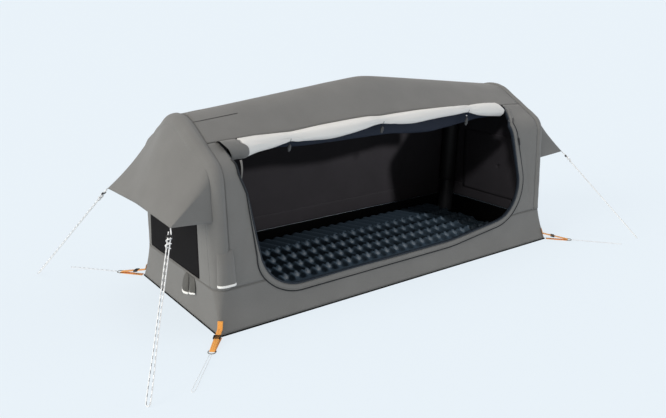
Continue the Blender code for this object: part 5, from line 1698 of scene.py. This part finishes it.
def end_share(x, first, last, reach):
    """Draws a roll in to a rounded end."""
    away = min(x - first, last - x)
    if away >= reach:
        return 1.0
    return max(0.02, math.sqrt(max(0, 1 - (1 - away / reach) ** 2)))


rows = []
for x in spaced(ROLL_START, ROLL_RIGHT, round((ROLL_RIGHT - ROLL_START) / ROLL_SPACING)):
    centre, radius = roll_centre(x)
    share = end_share(x, ROLL_START, ROLL_RIGHT, ROLL_END_REACH)
    seam = Vector((x, -DOOR_SEAM_Y, seam_at(x)))
    tip = seam - UP * GAP
    if (tip - centre).length < radius * TIP_CLEAR:
        tip = centre + (seam - centre).normalized() * radius * TIP_CLEAR
    if share < 1:
        tip = centre + (tip - centre) * share
    loop = tongue_loop(centre, radius * ROLL_DEPTH_SHARE * share, radius * share, tip, door_fold)
    for point in loop:
        point.x -= ROLL_SKEW * max(0, (point.z - centre.z) / radius) * eased((x - 0.78) / 0.10)
    rows.append(loop)
middle = roll_centre(rows[len(rows) // 2][0].x)[0]
roll = sewn("rolled_door", rows, (SILVER,), 0.0, middle, closed=True)
dressed(roll, "door_lining", "door_roll")
print("rolled door:", len(rows), "loops")

# %% [markdown]
# At the left end the door's canvas is outward, as a grey cuff round the pale roll. It is a sheet bent
# round the roll's own oval, and its two edges are curves over the angle, because they run askew.

# %% Cuff at the roll's left end
# How far round the cuff, in radians, and where its edge lies there
CUFF_LEFT = (
    (-0.3, -1.06), (0.3, -1.055), (1.0, -1.052), (1.5, -1.038), (1.75, -1.029), (2.25, -1.018),
    (2.75, -1.012), (3.4, -1.008), (4.2, -1.0), (5.6, -0.99),
)
CUFF_RIGHT = (
    (-0.3, -0.955), (0.49, -0.958), (1.0, -0.961), (1.25, -0.955), (1.5, -0.937), (1.75, -0.926),
    (2.1, -0.920), (2.61, -0.918), (3.10, -0.922), (3.8, -0.935), (5.6, -0.945),
)
CUFF_TURN, CUFF_START, CUFF_LEAD, CUFF_END = math.radians(318), math.radians(62), 0.2, -0.975
CUFF_ROWS, CUFF_COLUMNS, CUFF_CLOTH = 56, 16, 0.0016
# Where the disc of painted shade at the roll's end stands, how many parts it has, and its thickness
SHADE_DISC_X, SHADE_DISC_PARTS, SHADE_DISC_CLOTH = -0.960, 40, 0.0006
STRAP_TOP, STRAP_FALL, STRAP_WIDTH, STRAP_PARTS = 0.803, 0.078, 0.012, 10


def cuff_point(turn, share):
    """A point of the cuff: turn is measured forward from the seam, and share along it."""
    left, right = profiled(CUFF_LEFT, turn), profiled(CUFF_RIGHT, turn)
    x = left + (right - left) * share
    centre, radius = roll_centre(max(x, CUFF_END))
    centre.x = x
    loose = 0.0030 + 0.0040 * (1 - share) ** 2
    loose += 0.0012 * noise.noise(Vector((x * 22, 2 * math.cos(turn), 2 * math.sin(turn))))
    angle = CUFF_START + turn
    reach = radius + loose
    point = centre + Vector((0, reach * ROLL_DEPTH_SHARE * math.cos(angle), reach * math.sin(angle)))
    if turn < 0:
        seam = Vector((x, -DOOR_SEAM_Y, seam_at(x) + 0.001))
        point = point.lerp(seam, min(1, -turn / CUFF_LEAD))
    return point


rows = []
for turn in spaced(-CUFF_LEAD, CUFF_TURN, CUFF_ROWS):
    rows.append([cuff_point(turn, share) for share in spaced(0, 1, CUFF_COLUMNS)])
cuff = sewn("door_cuff", rows, (CANVAS, LINING), CUFF_CLOTH, roll_centre(-0.93)[0])
dressed(cuff, "canvas")
# A near-black disc inside the cuff is painted shade: it stands for the pale roll's end, which lies deep in
# shade.
centre, radius = roll_centre(SHADE_DISC_X)
oval = [Vector((0, ROLL_DEPTH_SHARE * math.cos(a), math.sin(a))) * radius for a in round_angles(SHADE_DISC_PARTS)]
rings = [[centre + spoke * share for spoke in oval] for share in (1.0, 0.7, 0.4, 0.01)]
dark = sewn("roll_end_shade_disc", rings, (PAINTED_SHADE_BLACK,), SHADE_DISC_CLOTH, centre + ALONG, closed=True)
dressed(dark, "canvas")
rows = []
for share in spaced(0, 1, STRAP_PARTS):
    height = STRAP_TOP - STRAP_FALL * share
    left = -0.995 - 0.020 * share
    wide = STRAP_WIDTH * (1 - 0.6 * share)
    rows.append([on_front(left + wide * step / 3, height, -CLOTH) for step in range(4)])
strap = sewn("door_edge_strap", rows, (CANVAS,), 0.0012)
dressed(strap, "canvas")

# %% [markdown]
# Behind it hangs the rolled net door, softer and sagging. It takes the same loops, with a rounder
# section, finer folds and its own curve of how far it hangs.

# %% Net roll
NET_LEFT, NET_RIGHT, NET_SPACING, NET_END_REACH, NET_COUNT = -0.90, 0.84, 0.008, 0.02, 40
NET_PINCH, NET_BULGE, NET_INSET, NET_DROP = 0.020, 0.022, 0.028, 0.030
NET_TIP_IN, NET_TIP_DROP, NET_FAN_DEPTH, NET_SLOW_DEPTH = 0.006, 0.0048, 0.003, 0.0028
# Place along the net roll, and how far it sags there
NET_SAG = (
    (-0.95, 0.010), (-0.72, 0.016), (-0.62, 0.025), (-0.48, 0.036), (-0.33, 0.044), (-0.17, 0.050),
    (-0.05, 0.058), (0.03, 0.056), (0.16, 0.062), (0.32, 0.064), (0.48, 0.044), (0.62, 0.028),
    (0.73, 0.006), (0.90, 0.0),
)


def net_fold(x, angle):
    away = abs(tie_distance(x))
    near = math.exp(-(away / 0.06) ** 2) * min(1, away / 0.010)
    twist = 5 * noise.noise(Vector((x * 8, angle, 8.0)))
    fan = -NET_FAN_DEPTH * near * (0.5 + 0.5 * math.cos(6 * angle + twist))
    return fan + NET_SLOW_DEPTH * noise.noise(Vector((x * 5, 2.5 * math.cos(angle), 2.5 * math.sin(angle))))


rows = []
for x in spaced(NET_LEFT, NET_RIGHT, round((NET_RIGHT - NET_LEFT) / NET_SPACING)):
    radius = NET_PINCH + (NET_BULGE - NET_PINCH) * fullness(x)
    drop = NET_DROP + radius + profiled(NET_SAG, x)
    share = end_share(x, NET_LEFT, NET_RIGHT, NET_END_REACH)
    centre = Vector((x, -DOOR_SEAM_Y + NET_INSET, lifted(x, -DOOR_SEAM_Y, SEAM_HEIGHT).z - drop))
    y = -DOOR_SEAM_Y + NET_TIP_IN
    tip = lifted(x, y, roof_height(y)) - UP * (NET_TIP_DROP + edge_sag(x, y))
    if (tip - centre).length < radius * TIP_CLEAR:
        tip = centre + UP * radius * TIP_CLEAR
    if share < 1:
        tip = centre + (tip - centre) * share
    rows.append(tongue_loop(centre, radius * share, radius * share, tip, net_fold, NET_COUNT))
inner = rows[len(rows) // 2][0] - UP * 0.03
net_roll = sewn("rolled_net_door", rows, (NET_DOOR,), 0.0, inner, closed=True)
dressed(net_roll, "net_door_cloth", "net_roll")
print("net roll:", len(rows), "loops")

# %% [markdown]
# Each tie is a narrow band drawn tight, deeper on top where it pulls the roll up. Below it a bean-shaped
# toggle hangs on a cord from a white knot, and rides on a body of its own, because it swings.

# %% Ties and toggles
TIE_BAND, TIE_STAND, TIE_CROWN, TIE_SINK, TIE_CLOTH = 0.0032, 0.0018, 0.0008, 0.0042, 0.0013
TIE_ROWS, TIE_PARTS = 6, 36
TOGGLE_DROP, TOGGLE_HALF, TOGGLE_RADIUS, TOGGLE_LEAN = 0.039, 0.0245, 0.0100, 0.10
TOGGLE_CORD, KNOT_RADIUS, KNOT_STEP, BEAN_STEPS = 0.0012, 0.0042, 0.0012, 14


def bean_radius(share):
    """A toggle's radius along it, round at both ends and a little waisted."""
    away = abs(2 * share - 1)
    return TOGGLE_RADIUS * max(0.05, 1 - away ** 2.6) ** 0.5 * (0.93 + 0.07 * away ** 0.8)


def knot_radius(share):
    return KNOT_RADIUS * max(0.05, 1 - (2 * share - 1) ** 2) ** 0.5


for place, x in TIE_PLACES.items():
    centre, radius = roll_centre(x)
    rows = []
    for across in spaced(0, 1, TIE_ROWS):
        middle, _ = roll_centre(x + TIE_BAND * (across - 0.5))
        out = radius + TIE_STAND - TIE_CROWN * (2 * across - 1) ** 2
        row = []
        for a in round_angles(TIE_PARTS):
            deep = out - TIE_SINK * eased((math.sin(a) + 0.35) / 0.4)
            row.append(middle + Vector((0, deep * ROLL_DEPTH_SHARE * math.cos(a), deep * math.sin(a))))
        rows.append(row)
    tie = sewn("tie_band_" + place, rows, (BINDING,), TIE_CLOTH, centre, closed=True)
    dressed(tie, "net_door_cloth", "door_tie_" + place)
    body = "tie_toggle_" + place
    low, high = [Vector(corner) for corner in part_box(body)]
    pivot = Vector(((low.x + high.x) / 2, (low.y + high.y) / 2, high.z))
    covered = max(0, pivot.z - centre.z + radius)
    drop, half = TOGGLE_DROP + covered / 2, TOGGLE_HALF - covered / 2
    cord = [pivot + UP * 0.0004, pivot - UP * 0.012, pivot - UP * (drop - half + 0.004)]
    hanger = tube("toggle_cord_" + place, cord, TOGGLE_CORD, ACETAL, sides=8)
    dressed(hanger, "black_plastic", body=body)
    bean = []
    for share in spaced(-1, 1, BEAN_STEPS):
        bean.append(pivot - (UP + ALONG * TOGGLE_LEAN * share) * (drop + share * half))
    # The bean's lighter grey is partly painted highlight.
    toggle = tube("toggle_bean_" + place, bean, bean_radius, TOGGLE_LIGHTENED, sides=16)
    dressed(toggle, "black_plastic", body, body=body)
    middle_line = [pivot - UP * KNOT_STEP * step for step in range(7)]
    knot = tube("toggle_knot_" + place, middle_line, knot_radius, HEM_TAPE, sides=10)
    dressed(knot, "white_rope", body=body)
    print(place, "toggle is", round(2 * half, 3), "m long")

# %% [markdown]
# ## Anchors and guy lines
#
# At each corner a strap of orange webbing comes off the skirt, passes a ladder-lock buckle, turns round
# a wire ring, and runs back. A doubled cord ties the ring to the ground, and a doubled rope with a
# runner holds each corner of the hoods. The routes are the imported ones, point for point.

# %% Ropes
ANCHOR_ANGLE = math.radians(50)
WEBBING_WIDTH, WEBBING = 0.026, 0.002
TAB_TOP, TAB_LEAVE, RING_REACH, RING_WIRE = 0.070, 0.036, 0.135, 0.002
RING_HALF_WIDTH, RING_LENGTH = 0.018, 0.026
RING_HEIGHT = GAP + WEBBING + GAP + RING_WIRE
GUY_PEG_REACH, GUY_PEG_SIDE, ROPE_RADIUS = 0.49, 0.36, 0.0029
CORD_RADIUS, CORD_SET = 0.0015, 0.0006
WRAP_FIRST, WRAP_REACH, WRAP_WIDE, WRAP_HIGH = 0.0505, 0.046, 0.0120, 0.0065
WRAP_RADIUS, WRAP_TURNS, WRAP_STEPS = 0.0026, 2, 48
DASH_PITCH, DASH_LENGTH, DASH_WIDTH = 0.03, 0.014, 0.0016
# How far along the line from its upper end, and how far to one side
GUY_ROUTE = [
    (0.0006, 0.0), (0.014, 0.0035), (0.028, 0.006), (0.060, 0.006), (0.52, 0.006), (0.64, 0.0085),
    (0.745, 0.009), (0.7585, 0.0068), (0.7645, 0.0), (0.7585, -0.0068), (0.745, -0.009),
    (0.64, -0.0085), (0.52, -0.006), (0.060, -0.006), (0.028, -0.006), (0.018, -0.006),
]
CORD_ROUTE = [
    (0.0, 0.005), (0.012, 0.0055), (0.15, 0.006), (0.285, 0.0072), (0.302, 0.0058), (0.308, 0.0),
    (0.302, -0.0058), (0.285, -0.0072), (0.15, -0.006), (0.012, -0.0055), (0.0, -0.005),
]


def braided(name, code, tracer, radius):
    """Rope: strands crossing round it, and a grey tracer that shows as dashes."""
    made, tree, shader = fresh(name)
    shader.inputs["Roughness"].default_value = 0.62
    place = add(tree, "ShaderNodeUVMap", uv_map="cloth").outputs["UV"]
    split = add(tree, "ShaderNodeSeparateXYZ", {0: place})
    strands = add(
        tree, "ShaderNodeTexWave",
        {"Vector": place, "Scale": WAVE_PERIOD / (radius * 1.5), "Distortion": 0.4},
        bands_direction="DIAGONAL",
    ).outputs["Fac"]
    turn = add(tree, "ShaderNodeMath", {0: split.outputs["X"], 1: DASH_PITCH}, operation="MODULO").outputs[0]
    dash = add(tree, "ShaderNodeMath", {0: turn, 1: DASH_LENGTH}, operation="LESS_THAN").outputs[0]
    side = add(
        tree, "ShaderNodeMath", {0: split.outputs["Y"], 1: DASH_WIDTH}, operation="LESS_THAN"
    ).outputs[0]
    both = add(tree, "ShaderNodeMath", {0: dash, 1: side}, operation="MULTIPLY").outputs[0]
    colours = {"Factor": both, "A": colour(code), "B": colour(tracer)}
    tint = add(tree, "ShaderNodeMix", colours, data_type="RGBA")
    tree.links.new(tint.outputs["Result"], shader.inputs["Base Color"])
    bump = add(tree, "ShaderNodeBump", {"Height": strands, "Distance": radius * 0.2, "Strength": 0.7})
    tree.links.new(bump.outputs["Normal"], shader.inputs["Normal"])
    return made


ROPE = braided("guy_rope", "#f4f4f4", "#85898f", ROPE_RADIUS)
CORD = braided("anchor_cord", "#eceef0", "#8d9197", CORD_RADIUS)


def smooth(route, steps):
    """Points on a smooth curve through a route's own points."""
    padded = [route[0] * 2 - route[1]] + route + [route[-1] * 2 - route[-2]]
    points = []
    for before, here, there, after in zip(padded, padded[1:], padded[2:], padded[3:]):
        span = (there - here).length
        lead = (there - before) * span / max(span, (there - before).length)
        trail = (after - here) * span / max(span, (after - here).length)
        points += [cubic(here, lead, there, trail, step / steps) for step in range(steps)]
    points.append(route[-1])
    return points


def laid_route(route, start, end):
    """A route's points in place between a line's upper end and its peg."""
    along = (end - start).normalized()
    side = UP.cross(along).normalized()
    return [start + along * reach + side * offset for reach, offset in route]


def corner_frame(side_x, side_y):
    """At a corner of the floor: X outward along the ground, Z up."""
    out = Vector((side_x * math.cos(ANCHOR_ANGLE), side_y * math.sin(ANCHOR_ANGLE), 0))
    matrix = Matrix((out, UP.cross(out), UP)).transposed().to_4x4()
    matrix.translation = (side_x * HALF_LENGTH, side_y * HALF_WIDTH, 0)
    return matrix


def corded(path):
    """Takes a taut line's points and its length, and keeps neither."""
    points = [tuple(point) for point in path]
    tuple(points[0])
    running(path)[-1]


for side_x, side_y in CORNERS:
    place = corner_name(side_x, side_y)
    upper = hood_corner(side_x, side_y)
    peg = Vector((side_x * (HALF_LENGTH + GUY_PEG_REACH), side_y * (HALF_WIDTH + GUY_PEG_SIDE), 0))
    path = smooth(laid_route(GUY_ROUTE, upper, peg), 5)
    rope = tube("guy_line_" + place, path, ROPE_RADIUS, ROPE, sides=10)
    dressed(rope, "white_rope", "guy_rope_" + place)
    corded(path)
    along = (peg - upper).normalized()
    aside = UP.cross(along).normalized()
    above = along.cross(aside)
    turns = []
    for share in spaced(0, 1, WRAP_STEPS):
        angle = 2 * math.pi * WRAP_TURNS * share
        out = aside * WRAP_WIDE * math.cos(angle) + above * WRAP_HIGH * math.sin(angle)
        turns.append(upper + along * (WRAP_FIRST + WRAP_REACH * share) + out)
    wrap = tube("guy_wrap_" + place, turns, WRAP_RADIUS, ROPE, sides=8)
    dressed(wrap, "white_rope", body="guy_runner_" + place)
    corner = corner_frame(side_x, side_y)
    start = corner @ Vector((RING_REACH + RING_LENGTH + RING_WIRE - CORD_SET, 0, RING_HEIGHT))
    end = corner @ Vector((RING_REACH + RING_LENGTH + CORD_ROUTE[5][0], 0, CORD_RADIUS + GAP))
    path = smooth(laid_route(CORD_ROUTE, start, end), 5)
    cord = tube("anchor_line_" + place, path, CORD_RADIUS, CORD, sides=8)
    dressed(cord, "white_rope", "anchor_cord_" + place)
    corded(path)
    print(place, "anchor cord is", round(running(path)[-1], 3), "m long")


# %% [markdown]
# The webbing is one strip carried along its path from the tab on the skirt, round the ring and back. The
# ring is a curve with a round bevel, the plainest way to bend wire.

# %% Straps and rings
WEBBING_STEP, WEBBING_COLUMNS, RING_STEPS = 0.008, 6, 12


def corner_reach(height):
    """Where the skirt's rounded corner stands along the anchor's line."""
    radius = skirt_corner(height)
    x = skirt_half_length(height) - radius - HALF_LENGTH
    y = skirt_half_width(height) - radius - HALF_WIDTH
    return x * math.cos(ANCHOR_ANGLE) + y * math.sin(ANCHOR_ANGLE) + radius


def strap_path():
    """(reach, height) of the webbing's outer face, from the tab on the wall round the ring's bar."""
    seat = 2 * GAP + WEBBING
    path = [Vector((corner_reach(height) + seat, height)) for height in spaced(TAB_TOP, TAB_LEAVE, 3)]
    wrap = RING_WIRE + GAP + WEBBING
    for angle in spaced(math.pi / 2, -math.pi / 2, 8):
        path.append(Vector((RING_REACH + wrap * math.cos(angle), RING_HEIGHT + wrap * math.sin(angle))))
    path.append(Vector((GAP, GAP)))
    return path


for side_x, side_y in CORNERS:
    place = corner_name(side_x, side_y)
    corner = corner_frame(side_x, side_y)
    points = [Vector((p.x, 0, p.y)) for p in strap_path()]
    fine = []
    for here, there in zip(points, points[1:]):
        parts = max(1, round((there - here).length / WEBBING_STEP))
        fine += [here.lerp(there, part / parts) for part in range(parts)]
    fine.append(points[-1])
    offsets = spaced(-WEBBING_WIDTH / 2, WEBBING_WIDTH / 2, WEBBING_COLUMNS)
    rows = [[corner @ (p + Vector((0, offset, 0))) for offset in offsets] for p in fine]
    bar = corner @ Vector((RING_REACH, 0, RING_HEIGHT))
    strap = sewn("webbing_" + place, rows, (ORANGE,), WEBBING, bar)
    dressed(strap, "orange_webbing", "anchor_strap_" + place)
    cut_cloth(strap, "stretched", "wall_skirt")
    tip = RING_LENGTH - RING_HALF_WIDTH
    outline = [(0, -RING_HALF_WIDTH), (0, 0), (0, RING_HALF_WIDTH), (tip, RING_HALF_WIDTH)]
    for angle in spaced(math.pi / 2, -math.pi / 2, RING_STEPS)[1:-1]:
        outline.append((tip + RING_HALF_WIDTH * math.cos(angle), RING_HALF_WIDTH * math.sin(angle)))
    outline.append((tip, -RING_HALF_WIDTH))
    path = [corner @ Vector((RING_REACH + reach, side, RING_HEIGHT)) for reach, side in outline]
    wire = bpy.data.curves.new("ring_" + place, "CURVE")
    wire.dimensions = "3D"
    wire.bevel_depth = RING_WIRE
    wire.bevel_resolution = 3
    spline = wire.splines.new("POLY")
    spline.points.add(len(path) - 1)
    for spot, point in zip(spline.points, path):
        spot.co = (*point, 1)
    spline.use_cyclic_u = True
    ring = linked("wire_ring_" + place, wire, STEEL)
    bpy.context.view_layer.update()
    ring = plain(ring)
    ring.data.materials.clear()
    ring.data.materials.append(STEEL)
    dressed(ring, "ring_steel", "anchor_ring_" + place)

# %% [markdown]
# ## Seams
#
# A seam shows as a thin line in nearly the cloth's own grey, with a row of stitches beside it where it is
# topstitched. Along two edges on the roof the line is painted shadow instead: near black, for the gap where
# the cloths overlap. The lines follow the panels' edges, and the stitches are the tree that made the zip's
# teeth, with a longer and thinner rod.

# %% Seam lines
SEAM_STAND, SEAM_RADIUS, SHADOW_LINE_RADIUS = 0.0008, 0.0009, 0.0012
ARCH_SPACING, ROOF_SPACING = 0.02, 0.025
STITCH_PITCH, STITCH_SIZE, STITCH_STAND, STITCH_BESIDE = 0.0075, (0.0045, 0.0005), 0.0018, 0.008


def arch_line(x):
    samples = evenly(arch_outline(SKIRT_HEIGHT), ARCH_SPACING)
    return [lifted(x, p.x, p.y) + Vector((0, n.x, n.y)) * SEAM_STAND for p, n in samples]


def roof_line(first, last, y):
    xs = spaced(first, last, max(2, round(abs(last - first) / ROOF_SPACING)))
    return [lifted(x, y, roof_height(y)) + UP * SEAM_STAND for x in xs]


loop = skirt_loop(SKIRT_HEIGHT - 0.0001, -0.0006)
left_gap, right_gap = door_edge(SKIRT_HEIGHT, -1), door_edge(SKIRT_HEIGHT, 1)
in_gap = [p.y < 0 and left_gap < p.x < right_gap for p in loop]
first = max(here for here, gap in enumerate(in_gap) if gap) + 1
skirt_line = [p for p in loop[first:] + loop[:first] if not (p.y < 0 and left_gap < p.x < right_gap)]
LINES = {
    "arch_left": arch_line(-PANEL_END), "arch_right": arch_line(PANEL_END), "skirt": skirt_line,
    "door_left": roof_line(-PANEL_END, -1.05, -DOOR_SEAM_Y),
    "door_right": roof_line(0.945, PANEL_END, -DOOR_SEAM_Y),
    "back": roof_line(-PANEL_END, PANEL_END, DOOR_SEAM_Y),
    "strip_start": roof_line(-PANEL_END, -0.86, -0.11), "strip_back": roof_line(-PANEL_END, -0.86, 0.11),
}
# These two lines are painted shadow for the gap where two cloths overlap.
SHADOW_LINES = ("strip_start", "door_left")
for name, points in LINES.items():
    dark = name in SHADOW_LINES
    thick, finish = (SHADOW_LINE_RADIUS, SEAM_GAP_SHADOW) if dark else (SEAM_RADIUS, TONAL)
    line = tube("seam_" + name, points, thick, finish, sides=6)
    dressed(line, "canvas")
rows_of_thread = [
    arch_line(-PANEL_END - STITCH_BESIDE), arch_line(PANEL_END + STITCH_BESIDE),
    [point + out * STITCH_STAND for point, out, _ in door_frames(0.010)],
    [point + out * STITCH_STAND for point, out, _ in door_frames(0.030)],
    [p + (p - Vector((0, 0, p.z))).normalized() * 0.0003 - UP * 0.007 for p in skirt_line],
]
stitch_row = row_tree("stitch_row", THREAD, STITCH_PITCH, STITCH_SIZE)
stitches = grown("seam_stitching", stitch_row, lines_mesh("stitch_lines", rows_of_thread))
dressed(stitches, "canvas")
print("seams:", list(LINES))

# %% [markdown]
# ## Light through the doorway
#
# The inner walls are almost black, so the soft studio light alone leaves them without shape. Two small
# lamps far in front of the door shine under the rolls: the first crosses to the back wall, and the
# second reaches the right end. They light only the inner pieces, so the outside keeps its even light.

# %% Doorway lamps
DOORWAYS = (
    # Name, place, power, radius, the pieces that it lights
    ("to_back", (1.58, -2.70, 1.79), 480, 0.09,
     ("back_wall_cloth", "knobbed_air_mat", "inner_skirt_lining", "tub_piping")),
    ("to_end", (-0.60, -1.50, 2.20), 250, 0.10,
     ("end_wall_right_cloth", "window_blind_right", "inner_skirt_lining", "tub_piping", "sleeve_right",
      "arch_beam_right")),
)
for name, place, power, radius, pieces in DOORWAYS:
    lamp = bpy.data.lights.new(name, "POINT")
    lamp.energy = power
    lamp.shadow_soft_size = radius
    doorway = linked(name, lamp)
    doorway.location = place
    lit = bpy.data.collections.new("lit_" + name)
    for piece in pieces:
        lit.objects.link(bpy.data.objects[piece])
    doorway.light_linking.receiver_collection = lit
print("doorway lamps reach", [len(row[4]) for row in DOORWAYS], "pieces")
